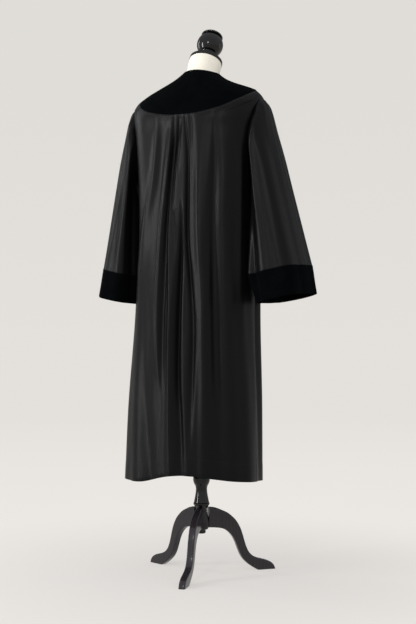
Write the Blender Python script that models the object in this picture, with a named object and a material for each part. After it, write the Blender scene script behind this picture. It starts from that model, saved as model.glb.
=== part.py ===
"""Prosecutor robe hung on a limbless dress form with a turned wooden tripod stand.

Every cloth piece is a thin wall over a curved grid. The body of the robe is a tube of rounded
sections, listed by height; the yoke spans from the neck edge to a curve on that tube; each
sleeve runs from an oval armhole on the tube to its cuff. Folds are rows of short tables.
Metres, +Z up, the wearer looks along -Y and the wearer's left is +X.
"""
import math

import bpy
import numpy as np
from mathutils import Matrix, Vector

# Cloth walls and seams
CLOTH_WALL = 0.0016
VELVET_WALL = 0.0026
VELVET_PROUD = 0.0008
SEAM_GAP = 0.0004

# Robe body: smooth tube of rounded sections
# columns: height, half width, half depth, middle x, middle y, squareness
BODY_SECTIONS = (
    (0.290, 0.214, 0.156, 0.008, 0.040, 2.10),
    (0.500, 0.207, 0.151, 0.006, 0.034, 2.15),
    (0.830, 0.191, 0.144, 0.002, 0.026, 2.25),
    (1.100, 0.191, 0.139, 0.001, 0.012, 2.45),
    (1.250, 0.196, 0.135, 0.001, 0.005, 2.70),
    (1.360, 0.203, 0.132, 0.003, 0.002, 2.80),
    (1.420, 0.210, 0.129, 0.005, 0.000, 2.70),
    (1.450, 0.213, 0.112, 0.006, 0.000, 2.40),
    (1.472, 0.205, 0.074, 0.007, 0.000, 2.10),
    (1.486, 0.191, 0.020, 0.008, 0.000, 2.00),
)
# The turn is measured as on a section of this half depth
FULL_DEPTH = 0.140
HEM_HEIGHT = 0.296

# Slope of the cloth at the yoke's lower edge: steep at front and back, shallow on the shoulder
EDGE_STEEP = 84
EDGE_SHALLOW = 25
EDGE_POWER = 5

# Hem: slow waves round the robe, columns: turn in degrees, height above HEM_HEIGHT
HEM_WAVE = (
    (-180, 0.005), (-153, -0.001), (-120, 0.002), (-90, 0.001), (-60, 0.004), (-25, 0.001),
    (0, 0.003), (28, 0.001), (50, 0.003), (65, 0.013), (78, 0.021), (92, 0.027), (125, 0.027),
    (150, 0.016), (170, 0.008), (180, 0.005),
)

# Lower edge of the yoke on the tube, columns: turn from the side line, height
YOKE_EDGE = (
    (0, 1.4852), (8, 1.4818), (17, 1.4730), (30, 1.4515), (43, 1.4290), (56, 1.4170),
    (73, 1.4085), (90, 1.4070),
)

# Neck edge of the yoke: an oval round the neck, lower at the front
NECK_MIDDLE_Y = -0.002
NECK_HALF_WIDTH = 0.0580
NECK_HALF_DEPTH = 0.0570
NECK_BACK_HEIGHT = 1.552
NECK_SIDE_HEIGHT = 1.545
NECK_FRONT_HEIGHT = 1.505
NECK_STAND = 44
YOKE_FRONT_SLIT = math.radians(0.45)
YOKE_ROWS = 7

# Armhole: an oval on the tube
ARMHOLE_TOP = 1.456
ARMHOLE_BOTTOM = 1.222
ARMHOLE_BACK = 0.064
ARMHOLE_FRONT = 0.048
ARMHOLE_MIDDLE = (ARMHOLE_TOP + ARMHOLE_BOTTOM) / 2
ARMHOLE_HALF = (ARMHOLE_TOP - ARMHOLE_BOTTOM) / 2

# Heights of the rows at a panel's side edge: shoulder, armhole, side seam, hem
PANEL_ROWS = (
    1.4852, 1.4740, 1.464, 1.4567, 1.438, 1.400, 1.344, 1.286, 1.243, 1.2205,
    1.160, 1.080, 0.990, 0.885, 0.770, 0.650, 0.530, 0.410, 0.296,
)
BACK_COLUMNS = 44
FRONT_COLUMNS = 15
PANEL_MIDDLE_SHARE = 0.45

# How near the side edge a fold may come, and how soon under the yoke it may rise
CALM_AT_ARMHOLE = 0.09
CALM_AT_SIDE_SEAM = 0.05
CALM_BLEND = 0.12
CALM_AT_YOKE = 0.012
# Least half width of a fold, in degrees, so that the panel's columns can follow it
LEAST_HALF_WIDTH = 2.4

# Folds of the back. Each is a list of rows, highest first, with the columns height, turn, rise
# (minus is a trough) and half width in degrees towards smaller and towards larger turns.
BACK_FOLDS = (
    # ridge that runs out to the left
    ((1.401, 59.0, 0.0020, 4.2, 5.2), (1.303, 56.8, 0.0060, 4.5, 5.2),
     (1.182, 51.8, 0.0090, 4.8, 6.3), (1.091, 44.5, 0.0095, 5.5, 7.8),
     (1.000, 38.5, 0.0090, 8.0, 9.2), (0.878, 32.0, 0.0060, 11.0, 10.5),
     (0.724, 33.2, 0.0045, 13.2, 10.5), (0.541, 36.5, 0.0050, 15.2, 10.5),
     (0.300, 41.0, 0.0060, 11.8, 11.0)),
    # tallest ridge
    ((1.402, 78.8, 0.0000, 4.0, 2.8), (1.345, 76.8, 0.0040, 4.8, 2.2),
     (1.269, 75.0, 0.0080, 5.5, 2.2), (1.178, 71.8, 0.0095, 4.8, 3.0),
     (1.088, 69.2, 0.0105, 4.0, 3.5), (0.952, 67.0, 0.0105, 3.8, 3.8),
     (0.786, 65.8, 0.0085, 4.2, 4.5), (0.666, 68.8, 0.0050, 4.5, 4.2),
     (0.532, 74.8, 0.0000, 4.2, 4.2)),
    # first pleat
    ((1.405, 81.8, -0.0010, 1.5, 1.8), (1.360, 81.0, -0.0025, 1.8, 1.5),
     (1.314, 79.8, -0.0060, 1.8, 1.8), (1.239, 77.0, -0.0070, 1.8, 1.8),
     (1.148, 75.0, -0.0050, 1.8, 1.8), (1.057, 73.8, -0.0035, 1.8, 2.0),
     (0.951, 73.5, -0.0042, 2.8, 2.5), (0.786, 72.2, -0.0045, 3.2, 3.2),
     (0.666, 73.0, -0.0035, 3.5, 3.5), (0.547, 75.2, 0.0000, 3.8, 3.5)),
    # ridge right of the pleats, down to the hem
    ((1.184, 78.8, 0.0000, 2.0, 2.0), (1.132, 78.8, 0.0030, 2.2, 2.8),
     (1.072, 78.8, 0.0065, 2.2, 5.0), (0.996, 80.0, 0.0085, 2.5, 6.8),
     (0.876, 82.5, 0.0095, 2.8, 7.0), (0.696, 84.2, 0.0095, 3.2, 5.8),
     (0.548, 86.0, 0.0088, 4.2, 6.0), (0.311, 90.8, 0.0080, 6.2, 6.8)),
    # second pleat
    ((1.401, 88.8, -0.0010, 1.8, 1.8), (1.359, 87.0, -0.0045, 1.8, 1.8),
     (1.313, 84.8, -0.0060, 1.5, 1.8), (1.238, 82.0, -0.0050, 1.8, 1.8),
     (1.162, 81.0, -0.0030, 1.8, 1.5), (1.099, 80.8, 0.0000, 1.8, 1.8)),
    # third pleat
    ((1.406, 92.0, -0.0015, 1.8, 1.5), (1.358, 89.8, -0.0022, 1.8, 1.8),
     (1.298, 88.2, -0.0014, 1.8, 1.8), (1.222, 87.5, 0.0000, 1.8, 1.8)),
    # fourth pleat, the longest one
    ((1.409, 96.0, -0.0015, 1.8, 2.0), (1.357, 97.5, -0.0030, 1.8, 2.0),
     (1.296, 99.5, -0.0055, 2.2, 2.0), (1.175, 100.5, -0.0078, 2.5, 2.5),
     (1.025, 103.0, -0.0082, 2.8, 2.5), (0.905, 108.5, -0.0078, 2.8, 3.0),
     (0.786, 112.8, -0.0072, 3.2, 3.3), (0.609, 114.0, -0.0065, 3.5, 3.2),
     (0.461, 113.8, -0.0030, 3.8, 3.2), (0.387, 114.0, 0.0000, 3.5, 3.5)),
    # fifth pleat
    ((1.410, 104.0, -0.0012, 1.8, 1.8), (1.371, 104.2, -0.0020, 2.0, 1.8),
     (1.310, 104.5, -0.0010, 2.0, 2.0), (1.265, 105.2, 0.0000, 2.0, 2.0)),
    # deep valley
    ((1.146, 93.5, 0.0000, 1.8, 2.0), (1.086, 94.2, -0.0050, 2.2, 2.0),
     (0.995, 94.8, -0.0090, 3.0, 2.5), (0.846, 94.5, -0.0110, 4.0, 3.0),
     (0.608, 96.0, -0.0105, 4.3, 3.7), (0.460, 100.8, -0.0075, 4.7, 4.5),
     (0.313, 105.2, -0.0050, 5.0, 5.0)),
    # broad ridge, steeper on its left side
    ((1.409, 112.0, 0.0010, 6.0, 10.0), (1.294, 113.2, 0.0050, 5.5, 9.8),
     (1.174, 114.8, 0.0080, 5.2, 9.7), (1.009, 117.8, 0.0095, 5.0, 9.3),
     (0.890, 122.8, 0.0095, 5.5, 7.8), (0.668, 126.8, 0.0090, 5.2, 7.0),
     (0.315, 130.0, 0.0075, 5.8, 7.5)),
    # valley right of the broad ridge
    ((1.394, 130.0, -0.0010, 2.0, 2.8), (1.292, 130.3, -0.0040, 2.8, 2.7),
     (1.173, 130.3, -0.0075, 3.3, 3.2), (0.875, 134.8, -0.0090, 3.5, 4.5),
     (0.609, 139.5, -0.0085, 4.5, 6.2), (0.462, 142.5, -0.0060, 5.5, 6.8),
     (0.315, 145.8, -0.0030, 6.0, 6.5)),
    # soft swell
    ((1.292, 140.8, 0.0000, 6.2, 5.0), (1.173, 141.8, 0.0030, 6.5, 5.2),
     (1.024, 144.0, 0.0040, 6.8, 5.5), (0.846, 148.5, 0.0050, 7.8, 6.8),
     (0.550, 153.5, 0.0060, 7.8, 7.2), (0.314, 155.5, 0.0060, 7.2, 6.8)),
    # soft swell beside the sleeve
    ((1.323, 153.2, 0.0000, 3.8, 2.5), (1.248, 154.8, 0.0035, 3.8, 2.8),
     (0.965, 159.8, 0.0050, 4.2, 3.5), (0.756, 164.2, 0.0030, 5.5, 5.0),
     (0.548, 166.8, 0.0040, 6.0, 6.0), (0.310, 169.0, 0.0040, 5.8, 5.8)),
    # shallow valley near the left side
    ((0.892, 44.2, 0.0000, 8.5, 6.8), (0.755, 44.0, -0.0035, 8.0, 8.5),
     (0.514, 50.8, -0.0050, 8.0, 9.0), (0.306, 61.8, -0.0050, 9.0, 10.0)),
    # ridge at the left side, down to the hem
    ((0.950, 14.0, 0.0000, 6.0, 6.0), (0.780, 15.0, 0.0030, 6.0, 7.0),
     (0.560, 19.0, 0.0065, 7.0, 7.0), (0.300, 22.0, 0.0085, 8.0, 8.0)),
)

# Folds of the fronts, columns as above
FRONT_FOLDS = (
    # the wearer's left front
    ((1.395, -66.0, 0.0010, 4.5, 4.0), (1.250, -65.0, 0.0060, 4.5, 4.0),
     (1.000, -65.5, 0.0090, 4.2, 4.8), (0.650, -67.5, 0.0095, 4.8, 5.2),
     (0.300, -68.0, 0.0080, 6.0, 6.0)),
    ((1.390, -57.0, -0.0015, 2.0, 2.0), (1.260, -56.5, -0.0050, 2.2, 2.2),
     (1.050, -56.0, -0.0075, 2.6, 3.0), (0.700, -57.5, -0.0080, 3.2, 3.4),
     (0.300, -58.5, -0.0045, 4.5, 4.5)),
    ((1.300, -47.0, 0.0000, 4.0, 4.0), (1.180, -46.5, 0.0055, 4.0, 4.6),
     (0.900, -44.0, 0.0090, 4.2, 5.0), (0.560, -44.5, 0.0085, 5.0, 6.0),
     (0.300, -45.5, 0.0075, 6.0, 6.5)),
    ((1.220, -36.0, 0.0000, 3.0, 3.0), (1.080, -35.0, -0.0060, 3.0, 3.2),
     (0.800, -33.0, -0.0085, 3.4, 3.8), (0.500, -32.0, -0.0060, 4.0, 5.0),
     (0.330, -31.5, 0.0000, 4.5, 5.0)),
    ((1.240, -25.0, 0.0000, 5.0, 5.0), (1.060, -24.0, 0.0060, 5.0, 5.0),
     (0.700, -21.0, 0.0085, 5.5, 6.0), (0.300, -19.0, 0.0080, 6.5, 6.5)),
    ((1.180, -12.0, 0.0000, 4.0, 4.0), (1.000, -12.0, -0.0050, 4.5, 4.5),
     (0.600, -9.5, -0.0060, 5.0, 5.0), (0.300, -8.0, -0.0045, 6.0, 6.0)),
    # the wearer's right front
    ((1.395, -114.0, 0.0010, 4.0, 4.5), (1.240, -115.5, 0.0060, 4.0, 4.5),
     (0.980, -115.0, 0.0085, 4.5, 4.5), (0.640, -113.5, 0.0090, 5.0, 5.0),
     (0.300, -113.0, 0.0075, 6.0, 6.0)),
    ((1.390, -123.5, -0.0015, 2.0, 2.0), (1.230, -124.5, -0.0055, 2.2, 2.4),
     (1.000, -125.0, -0.0080, 3.0, 2.6), (0.680, -124.0, -0.0075, 3.4, 3.2),
     (0.300, -122.5, -0.0040, 4.6, 4.4)),
    ((1.300, -134.0, 0.0000, 4.0, 4.0), (1.150, -134.5, 0.0060, 4.4, 4.0),
     (0.860, -136.5, 0.0095, 5.0, 4.2), (0.300, -136.0, 0.0080, 6.5, 6.0)),
    ((1.230, -144.5, 0.0000, 3.0, 3.0), (1.090, -146.0, -0.0055, 3.2, 3.2),
     (0.760, -148.0, -0.0080, 3.8, 3.4), (0.420, -149.0, -0.0045, 5.0, 4.2),
     (0.300, -149.0, -0.0030, 5.0, 4.5)),
    ((1.240, -157.0, 0.0000, 5.0, 5.0), (1.040, -158.0, 0.0065, 5.0, 5.0),
     (0.680, -160.0, 0.0090, 6.0, 5.5), (0.300, -162.0, 0.0080, 6.5, 6.5)),
    ((1.180, -170.0, 0.0000, 4.0, 4.0), (0.980, -170.5, -0.0055, 4.5, 4.5),
     (0.300, -172.0, -0.0045, 6.0, 6.0)),
)

# Front lap: the left front passes over the right one at the centre
LAP_TURN = 9.0
LAP_RISE = 0.0024
LAP_BLEND_TURN = 7.0

# Buttons on the lap
BUTTON_HEIGHTS = (1.340, 1.210, 1.080, 0.950, 0.820)
BUTTON_RADIUS = 0.010
BUTTON_THICK = 0.0032
BUTTON_GAP = 0.0006
BUTTON_EDGE = 0.0009
BUTTON_ROUND = 12

# Sleeve: middle of the cuff's upper and lower ring, as distance out from the pole, y and
# height, its half width and half depth, and how far its corner behind the body is drawn in
# and back. Then the angle of that corner and its half width, in degrees.
LEFT_CUFF = (
    ((0.268, -0.004, 0.936), (0.0605, 0.098), (0.004, 0.006)),
    ((0.280, -0.004, 0.850), (0.063, 0.106), (0.002, 0.003)),
)
RIGHT_CUFF = (
    ((0.278, 0.002, 0.936), (0.070, 0.098), (0.015, 0.028)),
    ((0.290, 0.000, 0.852), (0.070, 0.107), (0.006, 0.011)),
)
CORNER_ANGLE = 145.0
CORNER_WIDE = 25.0
CUFF_TILT = math.radians(12.0)
CUFF_SQUARE = 2.8
SLEEVE_HEAD_BULGE = 0.0145
SLEEVE_SIDE_BULGE = 0.020
SLEEVE_UNDER_BULGE = 0.009
SLEEVE_BULGE_REACH = 0.030
SLEEVE_BULGE_FADE = 1.2
SLEEVE_FOLD_GROW = 0.25
SLEEVE_ROUND = 40
SLEEVE_ROWS = (0.0, 0.015, 0.040, 0.085, 0.15, 0.27, 0.42, 0.60, 0.80, 1.0)
CUFF_ROWS = (0.0, 0.5, 1.0)

# Gathers at the sleeve head
GATHER_COUNT = 7
GATHER_SPREAD = math.radians(78)
GATHER_HEIGHT = 0.0022
GATHER_LENGTH = 0.14

# Folds along the sleeves, columns: angle round the sleeve at its top, the same at the cuff,
# share of the length where it starts, rise (minus is a trough), half width in degrees.
# Angle 0 is the outer line, 90 the back, 180 the line next to the body.
LEFT_SLEEVE_FOLDS = (
    (36.0, 30.0, 0.10, 0.0060, 13.0),
    (62.0, 60.0, 0.10, -0.0060, 11.0),
    (88.0, 90.0, 0.12, 0.0070, 12.0),
    (118.0, 120.0, 0.15, -0.0080, 11.0),
    (146.0, 146.0, 0.20, 0.0050, 12.0),
    (215.0, 212.0, 0.20, -0.0060, 12.0),
    (245.0, 244.0, 0.10, 0.0070, 13.0),
    (280.0, 282.0, 0.10, -0.0060, 13.0),
    (315.0, 316.0, 0.10, 0.0060, 13.0),
)
RIGHT_SLEEVE_FOLDS = (
    (30.0, 28.0, 0.12, -0.0040, 14.0),
    (58.0, 62.0, 0.10, 0.0060, 15.0),
    (95.0, 103.0, 0.15, 0.0050, 10.0),
    (120.0, 125.0, 0.20, -0.0180, 10.0),
    (148.0, 150.0, 0.25, 0.0060, 10.0),
    (215.0, 214.0, 0.20, -0.0060, 12.0),
    (245.0, 246.0, 0.10, 0.0070, 13.0),
    (282.0, 280.0, 0.10, -0.0060, 13.0),
    (318.0, 316.0, 0.10, 0.0060, 13.0),
)

# Neck, cap and knob lean forward together
NECK_LEAN = math.radians(27.0)
NECK_RADIUS = 0.0510
CAP_MIDDLE = (0.0, -0.030, 1.592)
CAP_RADIUS = 0.0520
CAP_THICK = 0.011
CAP_EDGE = 0.002
KNOB_RADIUS = 0.0412
KNOB_RISE = 0.0635
# The ball from its foot to its disc, in degrees above its middle
KNOB_BALL_ANGLES = np.linspace(-54, 45, 11)
# Waisted foot under the ball, columns: height above the cap, radius
KNOB_FOOT = (
    (0.0, 0.0262), (0.0030, 0.0268), (0.0055, 0.0250), (0.0100, 0.0232), (0.0160, 0.0230),
)
# Gap between two turned pieces that stand on each other
TURNED_GAP = 0.0003
# Domed disc on the ball, columns: height above the ball's middle, radius
KNOB_DISC = (
    (0.0298, 0.0278), (0.0303, 0.0318), (0.0316, 0.0338), (0.0336, 0.0340), (0.0360, 0.0326),
    (0.0400, 0.0276), (0.0432, 0.0205), (0.0450, 0.0120), (0.0456, 0.0040),
)
NECK_RING_STEPS = (0.0058, 0.020, 0.034, 0.044)

# Dress form under the robe, columns: height, half width, half depth, middle y
FORM_SECTIONS = (
    (0.800, 0.140, 0.098, 0.016),
    (0.835, 0.150, 0.105, 0.016),
    (0.920, 0.155, 0.108, 0.015),
    (1.010, 0.142, 0.102, 0.011),
    (1.100, 0.128, 0.094, 0.004),
    (1.200, 0.143, 0.104, -0.002),
    (1.290, 0.162, 0.112, -0.004),
    (1.370, 0.170, 0.106, 0.000),
)
FORM_LEVELS = (1.28, 1.20, 1.11, 1.03, 0.96, 0.89, 0.83, 0.80)
# Rings between the shoulders and the bust, columns: share of the way down, the level below
FORM_SHOULDER_STEPS = ((0.30, 1.33), (0.65, 1.33), (0.90, 1.33))
# How far the form lies inside the yoke's surface at each of its rows, from the neck outwards
FORM_UNDER_YOKE = (0.0048, 0.0034, 0.0026, 0.0026, 0.0050, 0.0100)
FORM_ROUND = 30
FORM_SQUARE = 2.3

# Stand
POLE_RADIUS = 0.0125
POLE_TOP = 0.7997
BALUSTER_TOP = 0.318
STAND_ROUND = 20
LEG_THICK = 0.021
LEG_TURNS = (193.0, 68.0, 315.5)
LEG_EDGE = 0.003

# Baluster from its foot to its top, columns: height, radius
BALUSTER_PROFILE = (
    (0.2200, 0.0238), (0.2310, 0.0216), (0.2450, 0.0190), (0.2560, 0.0177), (0.2640, 0.0176),
    (0.2710, 0.0192), (0.2800, 0.0238), (0.2870, 0.0258), (0.2940, 0.0262), (0.3020, 0.0246),
    (0.3090, 0.0206), (0.3140, 0.0180), (0.3180, 0.0172),
)
# Hub from its foot to its top, columns: height, radius
HUB_PROFILE = (
    (0.1240, 0.0110), (0.1262, 0.0130), (0.1350, 0.0136), (0.1372, 0.0200), (0.1400, 0.0219),
    (0.2100, 0.0219), (0.2118, 0.0240), (0.2150, 0.0252), (0.2182, 0.0250), (0.2197, 0.0236),
)
# Leg outline in its own upright plane, columns: distance from the axis, height
LEG_OUTER = (
    (0.0223, 0.2050), (0.0450, 0.2015), (0.0665, 0.1930), (0.0850, 0.1838), (0.0997, 0.1720),
    (0.1110, 0.1605), (0.1200, 0.1470), (0.1275, 0.1320), (0.1335, 0.1150), (0.1400, 0.0930),
    (0.1470, 0.0730), (0.1560, 0.0565), (0.1670, 0.0460), (0.1830, 0.0382), (0.2008, 0.0330),
    (0.2180, 0.0275), (0.2314, 0.0200), (0.2395, 0.0110), (0.2436, 0.0),
)
LEG_INNER = (
    (0.1840, 0.0), (0.1640, 0.0120), (0.1470, 0.0250), (0.1350, 0.0375), (0.1267, 0.0510),
    (0.1190, 0.0690), (0.1103, 0.0910), (0.1000, 0.1095), (0.0872, 0.1236), (0.0745, 0.1325),
    (0.0602, 0.1373), (0.0450, 0.1395), (0.0305, 0.1407), (0.0223, 0.1410),
)


def through(keys, values, at):
    """Smooth curve through the points (key, value): cubic pieces with three-point slopes."""
    keys = np.asarray(keys, float)
    values = np.asarray(values, float)
    slopes = np.gradient(values, keys)
    at = np.clip(at, keys[0], keys[-1])
    i = np.clip(np.searchsorted(keys, at) - 1, 0, len(keys) - 2)
    step = keys[i + 1] - keys[i]
    s = (at - keys[i]) / step
    start = values[i] * (1 + 2 * s) * (1 - s) ** 2 + step * slopes[i] * s * (1 - s) ** 2
    end = values[i + 1] * s * s * (3 - 2 * s) + step * slopes[i + 1] * s * s * (s - 1)
    return start + end


def column(table, number):
    """One column of a table."""
    return [row[number] for row in table]


def table_value(table, number, at):
    """A column of a table, read smoothly at a value of its first column."""
    return through(column(table, 0), column(table, number), at)


def ease(value):
    """0 below 0, 1 above 1, smooth between."""
    value = np.clip(value, 0.0, 1.0)
    return value * value * (3 - 2 * value)


def unit(vectors):
    """Vectors made one long."""
    return vectors / np.maximum(np.linalg.norm(vectors, axis=-1, keepdims=True), 1e-12)


def points(x, y, z):
    """Three arrays put together as points."""
    return np.stack(np.broadcast_arrays(x, y, z), axis=-1)


def body_section(height):
    """Half width, half depth, middle x, middle y and squareness of the tube at a height."""
    return [table_value(BODY_SECTIONS, number, height) for number in range(1, 6)]


def body_point(turn, height):
    """Point of the smooth tube: turn 0 is the wearer's left side, 90 degrees the centre back."""
    half_width, half_depth, middle_x, middle_y, square = body_section(height)
    c = np.cos(turn)
    s = np.sin(turn)
    reach = (np.abs(c / half_width) ** square + np.abs(s / FULL_DEPTH) ** square) ** (-1 / square)
    return points(middle_x + reach * c, middle_y + reach * s * half_depth / FULL_DEPTH, height)


def side_turn(from_side, height):
    """Turn of the tube's point that lies from_side in front of or behind its side line."""
    half_width, half_depth, _, _, square = body_section(height)
    share = np.clip(np.abs(from_side) / half_depth, 0.0, 0.999)
    reach = half_width * (1 - share ** square) ** (1 / square)
    return np.arctan2(from_side * FULL_DEPTH / half_depth, reach)


def yoke_edge_height(turn):
    """Height of the yoke's lower edge: the same at the left, right, front and back."""
    from_side = np.degrees(np.arcsin(np.clip(np.abs(np.sin(turn)), 0, 1)))
    return table_value(YOKE_EDGE, 1, from_side)


def hem_height(turn):
    """Height of the hem, in slow waves."""
    degrees = (np.degrees(turn) + 180) % 360 - 180
    return HEM_HEIGHT + table_value(HEM_WAVE, 1, degrees)


def edge_run(turn):
    """Direction in which the cloth runs down over the yoke's lower edge."""
    flat = points(np.cos(turn), np.sin(turn), 0 * turn)
    side = np.abs(np.cos(turn)) ** EDGE_POWER
    dip = np.radians(EDGE_STEEP - (EDGE_STEEP - EDGE_SHALLOW) * side)
    return flat * np.cos(dip)[..., None] - points(0 * turn, 0 * turn, np.sin(dip))


def edge_normal(turn):
    """Outward direction of the cloth at the yoke's lower edge, shared by both sides of the seam."""
    step = 0.004
    ahead = body_point(turn + step, yoke_edge_height(turn + step))
    behind = body_point(turn - step, yoke_edge_height(turn - step))
    return unit(np.cross(edge_run(turn), ahead - behind))


def fold_rise(folds, turn, height):
    """Sum of the folds of a table at a turn and a height, each a bell curve across its line."""
    degrees = np.degrees(turn)
    total = np.zeros(np.broadcast(turn, height).shape)
    for fold in folds:
        rows = fold[::-1]
        middle, rise, low, high = [table_value(rows, n, height) for n in range(1, 5)]
        wide = np.maximum(np.where(degrees < middle, low, high), LEAST_HALF_WIDTH)
        total = total + rise * np.exp(-((degrees - middle) / wide) ** 2)
    return total


def side_edge_turn(height, half_depth):
    """Turn between the side line and a panel's side edge: armhole above, side seam below."""
    arch = np.sqrt(np.clip(1 - ((height - ARMHOLE_MIDDLE) / ARMHOLE_HALF) ** 2, 0, 1))
    from_side = np.maximum(half_depth * arch, SEAM_GAP * 0.6)
    return side_turn(from_side, height)


def grid_normals(grid, closed=False):
    """Outward normals of a grid whose rows run down and whose columns run with the turn."""
    down = np.gradient(grid, axis=0)
    if closed:
        across = np.roll(grid, -1, axis=1) - np.roll(grid, 1, axis=1)
    else:
        across = np.gradient(grid, axis=1)
    return unit(np.cross(down, across))


def panel_grid(shares, centre, folds, lap=False):
    """Outer grid and normals of a body panel, from the yoke edge to the hem.

    Shares run from -1 at one side edge, past 0 at the centre, to 1 at the other side edge.
    """
    rows = np.array(PANEL_ROWS)
    half_depth = ARMHOLE_BACK if centre > 0 else ARMHOLE_FRONT
    reach = (math.pi / 2 - side_edge_turn(rows, half_depth))[:, None]
    turn = centre + reach * shares[None, :]
    drop = ((rows[0] - rows) / (rows[0] - rows[-1]))[:, None]
    top = yoke_edge_height(turn[0])
    height = top + (hem_height(turn[-1]) - top) * drop
    base = body_point(turn, height)
    normals = grid_normals(base)
    normals[0] = edge_normal(turn[0])
    base[0] += edge_run(turn[0]) * SEAM_GAP
    on_seam = (rows > ARMHOLE_TOP) | (rows < ARMHOLE_BOTTOM)
    for edge in np.flatnonzero(np.abs(shares) > 0.9999):
        normals[on_seam, edge, 1] = 0
    normals = unit(normals)
    from_edge = (1 - np.abs(shares))[None, :]
    below = ease((ARMHOLE_BOTTOM + CALM_BLEND / 6 - rows) / CALM_BLEND)[:, None]
    beside_armhole = ease(from_edge / CALM_AT_ARMHOLE) * (1 - below)
    beside_seam = ease(from_edge / CALM_AT_SIDE_SEAM) * below
    calm = (beside_armhole + beside_seam) * ease(drop / CALM_AT_YOKE)
    rise = fold_rise(folds, turn, height) * calm
    if lap:
        rise = rise + lap_rise(turn)
    return base + normals * rise[..., None], normals


def lap_rise(turn):
    """How far the left front stands out where it passes over the right one."""
    before_end = LAP_TURN + LAP_BLEND_TURN - (np.degrees(turn) + 90)
    return LAP_RISE * ease(before_end / LAP_BLEND_TURN)


def wall(name, outer, normals, thick, closed=False, proud=0.0):
    """Closed thin wall over a grid: its outer side, its inner side and the rims between them."""
    rows, cols = outer.shape[:2]
    outside = outer + normals * proud
    inside = outside - normals * thick
    vertices = np.concatenate([outside.reshape(-1, 3), inside.reshape(-1, 3)])
    shift = rows * cols
    last_row = (rows - 1) * cols
    spans = cols if closed else cols - 1
    faces = []
    for j in range(spans):
        k = (j + 1) % cols
        for i in range(rows - 1):
            a, b, c, d = i * cols + j, (i + 1) * cols + j, (i + 1) * cols + k, i * cols + k
            for triangle in ((a, b, c), (a, c, d)):
                faces.append(triangle)
                faces.append(tuple(n + shift for n in reversed(triangle)))
        faces.append((j, k, k + shift, j + shift))
        faces.append((last_row + k, last_row + j, last_row + j + shift, last_row + k + shift))
    if not closed:
        for i in range(rows - 1):
            a, b = i * cols, (i + 1) * cols
            faces.append((b, a, a + shift, b + shift))
            a, b = a + cols - 1, b + cols - 1
            faces.append((a, b, b + shift, a + shift))
    return solid(name, vertices, faces)


def ringed(name, rings):
    """Solid through closed rings, listed downwards, with a flat face on the first and the last."""
    count, around = rings.shape[:2]
    faces = [tuple(range(around))]
    for i in range(count - 1):
        for j in range(around):
            k = (j + 1) % around
            faces.append((i * around + j, (i + 1) * around + j, (i + 1) * around + k, i * around + k))
    faces.append(tuple(reversed(range((count - 1) * around, count * around))))
    return solid(name, rings.reshape(-1, 3), faces)


def solid(name, vertices, faces):
    """Object from vertices and faces, shaded smooth."""
    mesh = bpy.data.meshes.new(name)
    mesh.from_pydata([tuple(v) for v in vertices], [], faces)
    mesh.update()
    piece = bpy.data.objects.new(name, mesh)
    bpy.context.scene.collection.objects.link(piece)
    mesh.shade_smooth()
    mesh.set_sharp_from_angle(angle=math.radians(50))
    return piece


def finish(piece, colour, roughness, metallic=0.0):
    """Give a piece its own material."""
    material = bpy.data.materials.new(piece.name + "_material")
    material.use_nodes = True
    shader = material.node_tree.nodes["Principled BSDF"]
    shader.inputs["Base Color"].default_value = (*colour, 1)
    shader.inputs["Roughness"].default_value = roughness
    shader.inputs["Metallic"].default_value = metallic
    piece.data.materials.append(material)
    return piece


def wool(piece):
    """Matte black robe cloth."""
    return finish(piece, (0.014, 0.013, 0.014), 0.85)


def velvet(piece):
    """Deep black velvet."""
    return finish(piece, (0.004, 0.004, 0.0045), 0.95)


def lacquer(piece):
    """Black lacquered wood."""
    return finish(piece, (0.012, 0.011, 0.012), 0.25)


def neck_edge(turn):
    """Neck edge of the yoke, lowest at the front."""
    s = np.sin(turn)
    back = (NECK_BACK_HEIGHT - NECK_SIDE_HEIGHT) * np.maximum(s, 0) ** 2
    front = (NECK_FRONT_HEIGHT - NECK_SIDE_HEIGHT) * np.maximum(-s, 0) ** 2
    height = NECK_SIDE_HEIGHT + back + front
    return points(NECK_HALF_WIDTH * np.cos(turn), NECK_MIDDLE_Y + NECK_HALF_DEPTH * s, height)


def yoke_surface(turn, share):
    """Yoke between its neck edge (share 0) and its lower edge (share 1): one cubic arc a turn."""
    start = neck_edge(turn)
    end = body_point(turn, yoke_edge_height(turn))
    flat = points(np.cos(turn), np.sin(turn), 0 * turn)
    stand = np.radians(NECK_STAND)
    first = flat * np.cos(stand) - points(0 * turn, 0 * turn, np.sin(stand))
    chord = np.linalg.norm(end - start, axis=-1, keepdims=True)
    s = share[..., None]
    arc = start * (1 + 2 * s) * (1 - s) ** 2 + end * s * s * (3 - 2 * s)
    return arc + chord * (first * s * (1 - s) ** 2 + edge_run(turn) * s * s * (s - 1))


def yoke_grid(turns):
    """Turns, grid and normals of the yoke's surface at the given turns."""
    turn, share = np.meshgrid(turns, np.linspace(0, 1, YOKE_ROWS))
    grid = yoke_surface(turn, share)
    normals = grid_normals(grid)
    normals[-1] = edge_normal(turns)
    return turn, grid, normals


def yoke():
    """Velvet yoke, open at the centre front."""
    front = half_front_columns() * math.pi / 2
    behind = math.pi / 2 * (1 + back_columns())
    turns = np.concatenate([front - math.pi / 2, behind[1:-1], 1.5 * math.pi - front[::-1]])
    turns[0] += YOKE_FRONT_SLIT
    turns[-1] -= YOKE_FRONT_SLIT
    _, grid, normals = yoke_grid(turns)
    velvet(wall("yoke", grid, normals, VELVET_WALL, proud=VELVET_PROUD))


def back_columns():
    """Column places of the back from side to side, closer together near the centre."""
    w = np.linspace(-1, 1, BACK_COLUMNS + 1)
    return w * (PANEL_MIDDLE_SHARE + (1 - PANEL_MIDDLE_SHARE) * w * w)


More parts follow.
